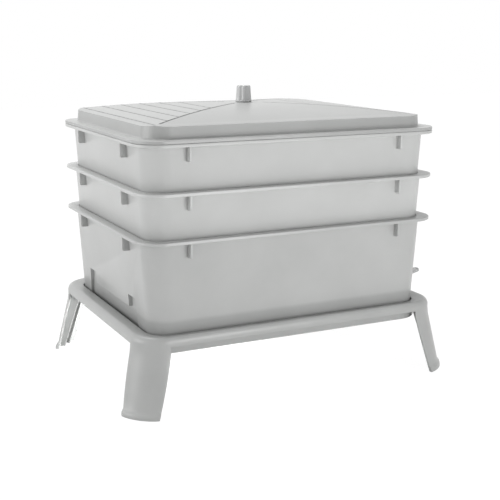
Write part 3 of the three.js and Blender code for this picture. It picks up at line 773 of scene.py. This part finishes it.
def draw_leg(stand, sign_x, sign_y):
    """One leg: the corner of the flange's lower edge, drawn down in steps while it splays,
    flattens and narrows, then swelled on its outer face into the bead at the floor."""
    slant = math.sqrt(0.5)
    outward = Vector((sign_x * slant, sign_y * slant, 0))
    turned = (outward, (-sign_y * slant, sign_x * slant, 0), (0, 0, 1))
    middle = Vector((CENTRE_X, CENTRE_Y))
    corner = Vector((FLANGE_HALF_X - FLANGE_CORNER, FLANGE_HALF_Y - FLANGE_CORNER))

    def from_middle(place):
        return Vector(((place.x / MM - middle.x) * sign_x, (place.y / MM - middle.y) * sign_y))

    def at_root(face):
        place = from_middle(face.calc_center_median())
        level = all(abs(vert.co.z / MM - FLANGE_LOW) < 2 * HAIR for vert in face.verts)
        return level and place.x > corner.x and place.y > corner.y

    def arc(z, grown):
        """Middle point, bulge and half width of the arc that stands so far outside the face."""
        centre, radius, half = leg_arc(z)
        radius += grown
        x = middle.x + sign_x * (centre.x + radius * slant)
        y = middle.y + sign_y * (centre.y + radius * slant)
        return Vector((x, y, z)), radius * (1 - math.cos(half)), radius * math.sin(half)

    def lower(start, end, proud, next_proud):
        sink(start - end)
        centre, radius, _ = leg_arc(start)
        border = radius + (proud - PAN_WALL) / 2
        for outside in (True, False):
            place, bulge, width = arc(start, proud if outside else -PAN_WALL)
            next_place, next_bulge, next_width = arc(end, next_proud if outside else -PAN_WALL)

            def on_arc(vert):
                spot = from_middle(vert.co)
                low = abs(vert.co.z / MM - end) < 2 * HAIR
                return low and min(spot) > 0 and ((spot - centre).length > border) == outside

            pick(stand, "VERT", on_arc)
            move = (next_place - place) * MM
            bpy.ops.transform.translate(value=(move.x, move.y, 0))
            bpy.ops.transform.resize(
                value=(next_bulge / bulge, next_width / width, 0),
                orient_type="GLOBAL",
                orient_matrix=turned,
                orient_matrix_type="GLOBAL",
                center_override=next_place * MM,
            )
            pick(stand, "FACE", at_level(end))

    def at_level(z):
        def test(face):
            level = all(abs(vert.co.z / MM - z) < HAIR / 2 for vert in face.verts)
            return level and min(from_middle(face.calc_center_median())) > 0

        return test

    edit(stand)
    pick(stand, "FACE", at_root)
    level = FLANGE_LOW
    bead_top = BEAD_HEIGHT + BEAD_LEAD
    for step in range(1, LEG_LEVELS + 1):
        end = FLANGE_LOW + (bead_top - FLANGE_LOW) * step / LEG_LEVELS
        lower(level, end, 0, 0)
        level = end
    proud = 0
    for end, share in BEAD_PROFILE:
        lower(level, end, proud, share * BEAD_PROUD)
        level, proud = end, share * BEAD_PROUD
    rest()


def leg_ribs():
    """Two upright ribs inside the leg, deeper at the flange than at the floor."""
    ribs = []
    for sign in (-1, 1):
        places = []
        for z in (FLANGE_LOW + OVERRUN, 0.0):
            centre, radius, half = leg_arc(z)
            angle = math.pi / 4 + sign * half * LEG_RIB_TURN
            reach = radius - PAN_WALL + ROOT
            places.append((centre + reach * Vector((math.cos(angle), math.sin(angle))), angle))
        (top, top_angle), (foot, foot_angle) = places
        turn = (top_angle + foot_angle) / 2
        half = RIB_THICKNESS / 2
        rib = block("leg_rib", (-LEG_RIB_TOP - ROOT, -half, 0), (0, half, FLANGE_LOW + OVERRUN))
        edit(rib)
        pick(rib, "VERT", lambda v: v.co.z < OVERRUN * MM)
        depth = (LEG_RIB_FOOT + ROOT) / (LEG_RIB_TOP + ROOT)
        bpy.ops.transform.resize(value=(depth, 1, 1), center_override=(0, 0, 0))
        splay = Matrix.Rotation(-turn, 2) @ (foot - top)
        bpy.ops.transform.translate(value=(splay.x * MM, splay.y * MM, 0))
        rest()
        rib.rotation_euler.z = turn
        rib.location = ((CENTRE_X + top.x) * MM, (CENTRE_Y + top.y) * MM, 0)
        ribs.append(settle(rib))
    return join(ribs[0], ribs[1:])


def mirrored(piece, sign_x, sign_y):
    """A copy of the piece, mirrored in the stack's middle planes where a sign is -1."""
    copy = piece.copy()
    copy.data = piece.data.copy()
    bpy.context.scene.collection.objects.link(copy)
    copy.scale = (sign_x, sign_y, 1)
    copy.location = ((1 - sign_x) * CENTRE_X * MM, (1 - sign_y) * CENTRE_Y * MM, 0)
    settle(copy)
    return face_out(copy)


def deck_ribs():
    reach_x = PAN_HALF_X - DECK_RIB_INSET
    reach_y = PAN_HALF_Y - DECK_RIB_INSET
    half = RIB_THICKNESS / 2
    high = DECK - DECK_THICKNESS + ROOT
    low = DECK - DECK_THICKNESS - DECK_RIB
    ribs = [block("deck_rib", (CENTRE_X - reach_x, -half, low), (CENTRE_X + reach_x, half, high))]
    for sign in (-1, 1):
        x = CENTRE_X + sign * reach_x / 3
        ribs.append(block("deck_rib", (x - half, -reach_y, low), (x + half, reach_y, high)))
    return join(ribs[0], ribs[1:])


def make_stand():
    shell = pan_and_flange()
    rib_pair = leg_ribs()
    ribs = [deck_ribs()]
    for sign_x in (1, -1):
        for sign_y in (1, -1):
            draw_leg(shell, sign_x, sign_y)
            ribs.append(mirrored(rib_pair, sign_x, sign_y))
    bpy.data.objects.remove(rib_pair)
    near = CENTRE_X + PAN_HALF_X - OVERRUN
    far = CENTRE_X + FLANGE_HALF_X + OVERRUN
    aside = TAP_COLLAR + TAP_GAP_SIDE
    low = TAP_Z - TAP_COLLAR - TAP_GAP_BELOW
    gap = block("tap_gap", (near, TAP_Y - aside, low), (far, TAP_Y + aside, CREST_Z + OVERRUN))
    combine(shell, gap, "DIFFERENCE")
    soften(shell, MOULD_ROUND, ROUND_CUTS, WALL_TURN)
    return smooth(join(shell, ribs))


# Lid
def lid_height(share):
    return EAVE_Z + LID_RISE * (1 - share**LID_BOW)


def eave_loop(inset, z):
    return outline(EAVE_HALF_X - inset, EAVE_HALF_Y - inset, EAVE_CORNER - inset, z)


def lid_body():
    """The flange, the skirt and the locating lip below, blank above the eave."""
    low = LID_RIM - LIP_HEIGHT / 2
    high = LID_RIM + LIP_HEIGHT / 2
    plug = WALL + PLUG_CLEARANCE
    loops = [wall_loop(plug + DRAFT * PLUG_DEPTH, low - PLUG_DEPTH), wall_loop(plug, low)]
    loops += rim_edge(low, high)
    fillet = SKIRT_FILLET
    loops.append(eave_loop(-SKIRT_FLARE - fillet, high))
    for up, out in quarter(EDGE_STEPS):
        loops.append(eave_loop(-SKIRT_FLARE - fillet * (1 - up), high + fillet * (1 - out)))
    loops.append(eave_loop(-SKIRT_FLARE, high + fillet))
    loops.append(eave_loop(0, EAVE_Z))
    loops.append(eave_loop(0, EAVE_Z + LID_RISE + OVERRUN))
    return loft("lid_shell", loops)


def roof():
    """Four bowed faces that meet along the hips, wide enough to take in the flange."""

    def square(share, z):
        return outline(EAVE_HALF_X * share, EAVE_HALF_Y * share, 0, z)

    loops = [square(ROOF_REACH, LID_RIM - 2 * PLUG_DEPTH)]
    for step in range(ROOF_STEPS + 1):
        share = ROOF_REACH + (ROOF_TIP - ROOF_REACH) * step / ROOF_STEPS
        loops.append(square(share, lid_height(share)))
    return loft("roof", loops)


def lid_hollow():
    """The space under the lid."""
    low = LID_RIM - LIP_HEIGHT / 2
    lip = WALL + PLUG_CLEARANCE + PLUG_WALL
    loops = [
        wall_loop(lip + DRAFT * PLUG_DEPTH, low - PLUG_DEPTH - OVERRUN),
        wall_loop(lip, low),
        eave_loop(LID_SHELL, EAVE_Z - LID_SHELL - EAVE_ROUND),
    ]
    for step in range(HOLLOW_STEPS):
        share = (1 - EAVE_ROUND / EAVE_HALF_Y) * (1 - step / HOLLOW_STEPS)
        widest = EAVE_CORNER - LID_SHELL - HOLLOW_CORNER
        half_x = (EAVE_HALF_X - LID_SHELL) * share
        half_y = (EAVE_HALF_Y - LID_SHELL) * share
        corner = min(HOLLOW_CORNER + widest * share**HOLLOW_SHARPENING, half_y * HOLLOW_ROUNDEST)
        loops.append(outline(half_x, half_y, corner, lid_height(share) - LID_SHELL))
    return loft("lid_hollow", loops)


def hip_grooves(lid):
    """A groove along each hip: the ridge edge is opened into a strip, and the strip is sunk."""
    edit(lid)

    def near_hip(place, off):
        x = abs(place.x / MM - CENTRE_X) / EAVE_HALF_X
        y = abs(place.y / MM - CENTRE_Y) / EAVE_HALF_Y
        return abs(x - y) <= off and HIP_END < x < HIP_START

    def on_roof(place):
        x = abs(place.x / MM - CENTRE_X) / EAVE_HALF_X
        return abs(place.z / MM - lid_height(x)) <= OFF_ROOF

    def on_hip(edge):
        first, second = [vert.co for vert in edge.verts]
        slopes = abs(first.z - second.z) > CLOSE * MM
        return slopes and all(
            near_hip(place, EDGE_OFF_HIP) and on_roof(place) for place in (first, second)
        )

    pick(lid, "EDGE", on_hip)
    bpy.ops.mesh.bevel(offset=HIP_WIDTH / 2 * MM, segments=1, affect="EDGES", clamp_overlap=False)

    def in_strip(face):
        middle = face.calc_center_median()
        upper = face.normal.z > UPWARDS and middle.z > (EAVE_Z - OVERRUN) * MM
        places = [middle] + [vert.co for vert in face.verts]
        return upper and all(near_hip(place, STRIP_OFF_HIP) for place in places)

    pick(lid, "FACE", in_strip)
    sink(GROOVE_DEPTH)
    rest()


def face_grooves(lid):
    """Thin straight grooves over the two short faces."""
    cutters = []
    half = GROOVE_WIDTH / 2
    for line in range(GROOVE_COUNT):
        share = GROOVE_START - GROOVE_STEP * line
        reach = EAVE_HALF_Y * share - GROOVE_WIDTH
        low = lid_height(share) - GROOVE_DEPTH
        high = lid_height(share) + OVERRUN
        for sign in (-1, 1):
            x = CENTRE_X + sign * EAVE_HALF_X * share
            cutters.append(block("groove", (x - half, -reach, low), (x + half, reach, high)))
    combine(lid, join(cutters[0], cutters[1:]), "DIFFERENCE")


def make_lid():
    lid = lid_body()
    combine(lid, roof(), "INTERSECT")
    combine(lid, lid_hollow(), "DIFFERENCE")
    rest()
    bpy.ops.mesh.primitive_cylinder_add(
        vertices=KNOB_BORE_STEPS,
        radius=KNOB_BORE * MM,
        depth=KNOB_BORE_LENGTH * MM,
        location=(CENTRE_X * MM, CENTRE_Y * MM, KNOB_Z * MM),
    )
    combine(lid, settle(bpy.context.object), "DIFFERENCE")
    soften(lid, EAVE_ROUND, EAVE_CUTS, WALL_TURN)
    hip_grooves(lid)
    face_grooves(lid)
    return smooth(lid, wide_faces_lead=True)


def turned(radius, level, table, way=1):
    """Pairs of radius and height from a table of steps past a radius, up or down from a level."""
    return [(radius + out, level + way * step) for out, step in table]


def make_knob():
    top = KNOB_Z + KNOB_HEIGHT
    steps = FLUTES * FLUTE_STEPS
    profile = turned(KNOB_BASE, KNOB_Z, KNOB_FOOT) + turned(KNOB_TOP, top, KNOB_CROWN, -1)
    profile.append((KNOB_TIP, top))
    knob = loft("knob", [circle(radius, z, steps=steps) for radius, z in profile])
    edit(knob)
    middle = (CENTRE_X * MM, CENTRE_Y * MM, 0)
    for offset, share in FLUTE_CUT:

        def in_flute(vert):
            x = vert.co.x / MM - CENTRE_X
            y = vert.co.y / MM - CENTRE_Y
            place = round(math.atan2(y, x) / (2 * math.pi) * steps) % FLUTE_STEPS
            height = vert.co.z / MM - KNOB_Z
            in_height = FLUTE_LOW < height < KNOB_HEIGHT - FLUTE_BELOW_TOP
            return min(place, FLUTE_STEPS - place) == offset and in_height

        pick(knob, "VERT", in_flute)
        bpy.ops.transform.resize(value=(share, share, 1), center_override=middle)
    rest()
    ends = (KNOB_Z - OVERRUN, KNOB_Z + KNOB_GRIP)
    bore = loft("bore", [circle(KNOB_BORE, z, steps=DRILL_STEPS) for z in ends])
    combine(knob, bore, "DIFFERENCE")
    return smooth(knob, KNOB_SMOOTH_TURN)


# Tap
def bar(name, radius, start, end):
    """A round bar along X on the tap's axis, its ends measured from the stack's middle."""
    rest()
    bpy.ops.mesh.primitive_cylinder_add(
        vertices=ROUND_STEPS,
        radius=radius * MM,
        depth=(end - start) * MM,
        location=((CENTRE_X + (start + end) / 2) * MM, TAP_Y * MM, TAP_Z * MM),
        rotation=(0, math.pi / 2, 0),
    )
    made = bpy.context.object
    made.name = name
    return settle(made)


def post(name, radii):
    """An upright turned shape on the plug's axis, from pairs of radius and height."""
    return loft(name, [circle(radius, z, CENTRE_X + PLUG_X, TAP_Y) for radius, z in radii])


def rod(name, radius, low, high):
    return post(name, [(radius, low), (radius, high)])


def make_tap_body():
    tip = HOUSING_LOW - SPOUT_LENGTH
    body = bar("tap_housing", TAP_BARREL, COLLAR_X + ROOT, PLUG_X)
    combine(body, bar("shank", TAP_SHANK, NUT_X - SHANK_END, COLLAR_X + 2 * ROOT), "UNION")
    combine(body, bar("collar", TAP_COLLAR, COLLAR_X, COLLAR_X + TAP_COLLAR_THICKNESS), "UNION")
    housing = [
        (SPOUT_TIP - SPOUT_TIP_IN, tip),
        (SPOUT_TIP, tip + SPOUT_TIP_UP),
        (SPOUT_TOP, HOUSING_LOW - SPOUT_SHOULDER),
    ]
    housing += turned(HOUSING, HOUSING_LOW, HOUSING_FOOT)
    housing += turned(HOUSING, HOUSING_TOP, HOUSING_CROWN, -1)
    combine(body, post("housing", housing), "UNION")
    combine(body, bar("passage", TAP_PASSAGE, NUT_X - SHANK_END - OVERRUN, PLUG_X), "DIFFERENCE")
    combine(body, rod("bore", PLUG + REST_GAP, BORE_FLOOR, HOUSING_TOP + OVERRUN), "DIFFERENCE")
    combine(body, rod("spout", PLUG_CORE, tip - OVERRUN, BORE_FLOOR + OVERRUN), "DIFFERENCE")
    soften(body, MOULD_ROUND, ROUND_CUTS, PLATE_TURN)
    return smooth(body)


def make_lever():
    """The flat paddle that turns the plug, dished on top, on a round hub."""
    hub_z = HOUSING_TOP + REST_GAP
    hub_profile = turned(HUB, hub_z, HUB_FOOT) + turned(HUB, hub_z + HUB_HEIGHT, HUB_CROWN, -1)
    hub = post("tap_lever", hub_profile)
    rest()
    bpy.ops.mesh.primitive_plane_add(size=2, location=(0, 0, 0))
    blade = bpy.context.object
    edit(blade)
    # The plane's corners lie at 1 and -1, so the scale at each end is a size from the axis
    ends = ((-1, 0, LEVER_HALF_ROOT), (1, LEVER_REACH, LEVER_HALF_TIP))
    for end, reach, half_width in ends:
        pick(blade, "VERT", lambda vert: round(vert.co.x) == end)
        scale = (reach * MM, half_width * MM, 1)
        bpy.ops.transform.resize(value=scale, center_override=(0, 0, 0))
    tip_round = LEVER_HALF_TIP * LEVER_TIP_ROUND * MM
    bpy.ops.mesh.bevel(offset=tip_round, segments=LEVER_TIP_STEPS, affect="VERTICES")
    bpy.ops.mesh.select_all(action="SELECT")
    sink(-LEVER_THICKNESS)

    def on_top(face):
        return face.normal.z > UPWARDS and face.calc_center_median().z > LEVER_THICKNESS / 2 * MM

    pick(blade, "FACE", on_top)
    bpy.ops.mesh.inset(thickness=LEVER_BORDER * MM, depth=0)
    bpy.ops.mesh.inset(thickness=DISH_SLOPE * MM, depth=-DISH_DEPTH * MM)
    face_out(blade)
    soften(blade, LEVER_ROUND, LEVER_CUTS, PLATE_TURN)
    blade.rotation_euler.y = -math.radians(LEVER_RISE)
    blade.location = ((CENTRE_X + PLUG_X) * MM, TAP_Y * MM, hub_z * MM)
    settle(blade)
    edit(blade)
    bpy.ops.mesh.bisect(
        plane_co=(0, 0, hub_z * MM), plane_no=(0, 0, 1), use_fill=True, clear_inner=True
    )
    rest()
    combine(hub, face_out(blade), "UNION")
    combine(hub, rod("plug", PLUG, BORE_FLOOR + REST_GAP, hub_z + ROOT), "UNION")
    core = rod("core", PLUG_CORE, BORE_FLOOR - OVERRUN, HOUSING_TOP - PLUG_END)
    combine(hub, core, "DIFFERENCE")
    combine(hub, bar("port", TAP_PASSAGE, PLUG_X - PLUG - OVERRUN, PLUG_X), "DIFFERENCE")
    ring_z = HOUSING_TOP - RING_BELOW_TOP
    half = RING_GROOVE_HALF
    groove = rod("groove", PLUG + OVERRUN, ring_z - half, ring_z + half)
    floor_radius = PLUG - RING_GROOVE_DEPTH
    groove_floor = rod("groove_floor", floor_radius, ring_z - 2 * half, ring_z + 2 * half)
    combine(groove, groove_floor, "DIFFERENCE")
    combine(hub, groove, "DIFFERENCE")
    return smooth(hub)


# Materials
NOISE_LOW = 0.3  # the noise keeps mostly between these
NOISE_HIGH = 0.7
GLOSSY = 0.32  # roughness of the moulded plastics
SHEEN_BELOW = 0.03
SHEEN_ABOVE = 0.04
PLASTIC_IOR = 1.49
FLOW_SIZE = 70.0
WAVE_SIZE = 90.0
WAVE_STRENGTH = 0.35
WAVE_HEIGHT = 0.6
GRAIN_HEIGHT = 0.12
STEEL_MARK_SIZE = 0.5
STEEL_ROUGHNESS = (0.24, 0.36)
WHITE = (1, 1, 1, 1)
PAPER_GLOW = 1.08
PAPER_GLOW_SHARE = 0.9
# Painted shade low on the collector, next to the stand: the height where the colour is darkest,
# the height where the darkening ends, and the share of colour left at the darkest
PAINTED_SHADE_BELOW = (99.0, 103.2, 0.86)


def linear(code):
    """A hex colour as linear red, green, blue and alpha."""
    values = [int(code[i : i + 2], 16) / 255 for i in (1, 3, 5)]
    return [v / 12.92 if v <= 0.04045 else ((v + 0.055) / 1.055) ** 2.4 for v in values] + [1.0]


def add(tree, kind, settings=None, links=None):
    """A node with its settings, and links into its inputs from other nodes' outputs. An input is
    called by its name, or by its number where two have one name."""
    node = tree.nodes.new(kind)
    for name, value in (settings or {}).items():
        if isinstance(name, int) or name in node.inputs:
            node.inputs[name].default_value = value
        else:
            setattr(node, name, value)
    for name, source in (links or {}).items():
        tree.links.new(source, node.inputs[name])
    return node


def new_material(name):
    """A material and its tree of nodes, still empty."""
    material = bpy.data.materials.new(name)
    material.use_nodes = True
    material.node_tree.nodes.clear()
    return material, material.node_tree


def noise(tree, place, size, detail, roughness=0.5):
    """Noise in space whose patches are about so many millimetres wide."""
    settings = {"Scale": 1 / (size * MM), "Detail": detail, "Roughness": roughness}
    return add(tree, "ShaderNodeTexNoise", settings, {"Vector": place}).outputs["Fac"]


def spread(tree, value, from_low, from_high, low, high):
    """The value, taken from one range to another."""
    settings = {"From Min": from_low, "From Max": from_high, "To Min": low, "To Max": high}
    return add(tree, "ShaderNodeMapRange", settings, {"Value": value}).outputs["Result"]


def bump(tree, height, strength, distance, normal=None):
    """A relief so many millimetres high, laid over another where one is given."""
    links = {"Height": height, "Normal": normal} if normal else {"Height": height}
    settings = {"Strength": strength, "Distance": distance * MM}
    return add(tree, "ShaderNodeBump", settings, links).outputs["Normal"]


def moulded(name, light, dark, roughness=GLOSSY, grit=0.9, relief=0.05, painted_shade_below=None):
    """Injection-moulded plastic: an even colour that drifts a little with the melt's flow, a fine
    spark-eroded grain, and walls that aren't quite flat, so that reflections waver. Where a height
    range is given, the colour is darkened below it: painted shade low on the collector, next to
    the stand."""
    material, tree = new_material(name)
    place = add(tree, "ShaderNodeTexCoord").outputs["Object"]
    flow = noise(tree, place, FLOW_SIZE, detail=3.0, roughness=0.55)
    colour = add(tree, "ShaderNodeValToRGB", {}, {"Fac": flow})
    ends = zip(colour.color_ramp.elements, ((NOISE_LOW, dark), (NOISE_HIGH, light)))
    for element, (position, code) in ends:
        element.position = position
        element.color = linear(code)
    tint = colour.outputs["Color"]
    # Painted shade: the colour is darkened below a height, where the stand shades the collector
    if painted_shade_below:
        low, high, share = painted_shade_below
        height = add(tree, "ShaderNodeSeparateXYZ", {}, {"Vector": place}).outputs["Z"]
        painted_shade_factor = spread(tree, height, low * MM, high * MM, share, 1.0)
        links = {"Vector": tint, "Scale": painted_shade_factor}
        tint = add(tree, "ShaderNodeVectorMath", {"operation": "SCALE"}, links).outputs["Vector"]
    grain = noise(tree, place, grit, detail=2.0)
    sheen = spread(
        tree, grain, NOISE_LOW, NOISE_HIGH, roughness - SHEEN_BELOW, roughness + SHEEN_ABOVE
    )
    waver = noise(tree, place, WAVE_SIZE, detail=1.0)
    wavy = bump(tree, waver, WAVE_STRENGTH, WAVE_HEIGHT)
    normal = bump(tree, grain, relief, GRAIN_HEIGHT, wavy)
    shader = add(
        tree,
        "ShaderNodeBsdfPrincipled",
        {"IOR": PLASTIC_IOR},
        {"Base Color": tint, "Roughness": sheen, "Normal": normal},
    )
    add(tree, "ShaderNodeOutputMaterial", {}, {"Surface": shader.outputs["BSDF"]})
    return material


def turned_steel():
    """Zinc-plated steel, turned: fine marks and a soft, cool shine."""
    material, tree = new_material("zinc_plated_steel_turned")
    place = add(tree, "ShaderNodeTexCoord").outputs["Object"]
    marks = noise(tree, place, STEEL_MARK_SIZE, detail=2.0)
    shader = add(
        tree,
        "ShaderNodeBsdfPrincipled",
        {"Base Color": linear("#c3c6c9"), "Metallic": 1.0},
        {"Roughness": spread(tree, marks, NOISE_LOW, NOISE_HIGH, *STEEL_ROUGHNESS)},
    )
    add(tree, "ShaderNodeOutputMaterial", {}, {"Surface": shader.outputs["BSDF"]})
    return material


def seen(tree):
    """1 for rays from the camera and off glossy surfaces, 0 for those that only light."""
    rays = add(tree, "ShaderNodeLightPath").outputs
    links = {0: rays["Is Camera Ray"], 1: rays["Is Glossy Ray"]}
    return add(tree, "ShaderNodeMath", {"operation": "MAXIMUM"}, links).outputs["Value"]


def backdrop():
    """White paper: it shows white itself and still takes a faint shadow."""
    material, tree = new_material("white_paper_sheet")
    share = add(
        tree, "ShaderNodeMath", {"operation": "MULTIPLY", 1: PAPER_GLOW_SHARE}, {0: seen(tree)}
    )
    paper = add(tree, "ShaderNodeBsdfDiffuse", {"Color": linear("#dddddd")})
    glow = add(tree, "ShaderNodeEmission", {"Color": WHITE, "Strength": PAPER_GLOW})
    links = {"Fac": share.outputs["Value"], 1: paper.outputs["BSDF"], 2: glow.outputs["Emission"]}
    mix = add(tree, "ShaderNodeMixShader", {}, links)
    add(tree, "ShaderNodeOutputMaterial", {}, {"Surface": mix.outputs["Shader"]})
    return material


def dress(piece, material):
    piece.data.materials.clear()
    piece.data.materials.append(material)


def mount_piece(piece, body, material, node):
    """The piece takes its finish, moves with its body and stands for its node."""
    dress(piece, material)
    rest()
    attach(piece, body)
    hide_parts(node)


# The collector's plastic carries painted shade low down, next to the stand
base_plastic = moulded(
    "polypropylene_moulded_base", "#b6b7b6", "#b0b1b0", painted_shade_below=PAINTED_SHADE_BELOW
)
stand_plastic = moulded("polypropylene_moulded_stand", "#abacab", "#a5a6a5")
tray_plastic = moulded("polypropylene_moulded_tray", "#c2c3c2", "#bcbdbc")
lid_plastic = moulded("polypropylene_moulded_lid", "#adaead", "#a7a8a7")
knob_plastic = moulded("polypropylene_moulded_knob", "#c6c7c7", "#c0c1c1")
tap_plastic = moulded("polypropylene_moulded_tap", "#b9baba", "#b2b3b3")
# Dull and slightly dusty
seal_rubber = moulded(
    "nitrile_rubber_pressed", "#2a2a2b", "#202021", roughness=0.75, grit=0.6, relief=0.1
)
fixing_steel = turned_steel()

mount_piece(make_stand(), "stand", stand_plastic, "stand")
mount_piece(make_collector(), "collector", base_plastic, "collector")
for tray, rim_z in (("lower_tray", LOWER_RIM), ("upper_tray", UPPER_RIM)):
    mount_piece(make_tray(tray + "_shell", rim_z), tray, tray_plastic, tray)
mount_piece(make_lid(), "lid", lid_plastic, "lid")
mount_piece(make_knob(), "lid", knob_plastic, "lid_knob")
mount_piece(make_tap_body(), "collector", tap_plastic, "tap_body")
mount_piece(make_lever(), "tap_plug", tap_plastic, "tap_plug")

for node, material in (
    ("tap_nut", tap_plastic),
    ("tap_gasket_outer", seal_rubber),
    ("tap_gasket_inner", seal_rubber),
    ("tap_o_ring", seal_rubber),
    ("knob_washer", fixing_steel),
    ("knob_screw", fixing_steel),
):
    dress(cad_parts[node], material)

# Floor, world and lights, in metres and watts
FLOOR_SIZE = 8
AMBIENT = 0.45  # what lights the shadows
SKY_SEEN = 1.0
# Name, place, point it looks at, width, height and power
LAMPS = (
    ("key_left", (-2.3, 0.6, 0.7), (0, 0, 0.2), 1.6, 1.2, 20),
    ("streak_left", (-1.9, -0.15, 0.3), (-0.15, -0.12, 0.22), 0.7, 0.5, 2.0),
    ("top", (-0.15, 0.7, 2.4), (0, 0, 0.2), 1.4, 1.4, 44),
    ("front", (0.1, -0.78, 0.17), (0.03, -0.14, 0.17), 0.4, 0.3, 2.1),
    ("under_stand", (0.0, -0.03, 0.03), (-0.18, 0.13, 0.05), 0.04, 0.04, 1.3),
)

rest()
bpy.ops.mesh.primitive_plane_add(size=FLOOR_SIZE, location=(0, 0, 0))
floor = bpy.context.object
floor.name = "paper_floor"
dress(floor, backdrop())

world = bpy.data.worlds.new("studio")
bpy.context.scene.world = world
world.use_nodes = True
sky = world.node_tree
sky.nodes.clear()
shades = [
    add(sky, "ShaderNodeBackground", {"Color": WHITE, "Strength": strength}).outputs["Background"]
    for strength in (AMBIENT, SKY_SEEN)
]
sky_mix = add(sky, "ShaderNodeMixShader", {}, {"Fac": seen(sky), 1: shades[0], 2: shades[1]})
add(sky, "ShaderNodeOutputWorld", {}, {"Surface": sky_mix.outputs["Shader"]})

for name, place, target, width, height, power in LAMPS:
    rest()
    bpy.ops.object.light_add(type="AREA", location=place)
    lamp = bpy.context.object
    lamp.name = name
    lamp.data.shape = "RECTANGLE"
    lamp.data.size = width
    lamp.data.size_y = height
    lamp.data.energy = power
    aim = Vector(target) - Vector(place)
    lamp.rotation_euler = aim.to_track_quat("-Z", "Y").to_euler()

# Camera, solved from the photograph: millimetres from the stack's middle, degrees and pixels
CAMERA_PLACE = (-546.9, -1122.0, 419.2)
CAMERA_AZIMUTH = -26.37
CAMERA_ELEVATION = 12.6
CAMERA_ROLL = 0.12
FOCAL_PIXELS = 1003.3
PICTURE_PIXELS = 500
SENSOR_WIDTH = 36
FARTHEST = 20  # metres

azimuth = math.radians(CAMERA_AZIMUTH)
elevation = math.radians(CAMERA_ELEVATION)
roll = math.radians(CAMERA_ROLL)
level = math.cos(elevation)
back = Vector((math.sin(azimuth) * level, -math.cos(azimuth) * level, math.sin(elevation)))
right = Vector((math.cos(azimuth), math.sin(azimuth), 0))
tilted_right = right * math.cos(roll) + back.cross(right) * math.sin(roll)
axes = Matrix((tilted_right, back.cross(tilted_right), back)).transposed().to_4x4()
camera_data = bpy.data.cameras.new("camera")
camera_data.sensor_width = SENSOR_WIDTH
camera_data.lens = FOCAL_PIXELS * SENSOR_WIDTH / PICTURE_PIXELS
camera_data.clip_end = FARTHEST
camera = bpy.data.objects.new("camera", camera_data)
bpy.context.scene.collection.objects.link(camera)
camera_place = Vector(CAMERA_PLACE) + Vector((CENTRE_X, CENTRE_Y, 0))
camera.matrix_world = Matrix.Translation(camera_place * MM) @ axes
bpy.context.scene.camera = camera

bpy.context.scene.view_settings.view_transform = "Standard"
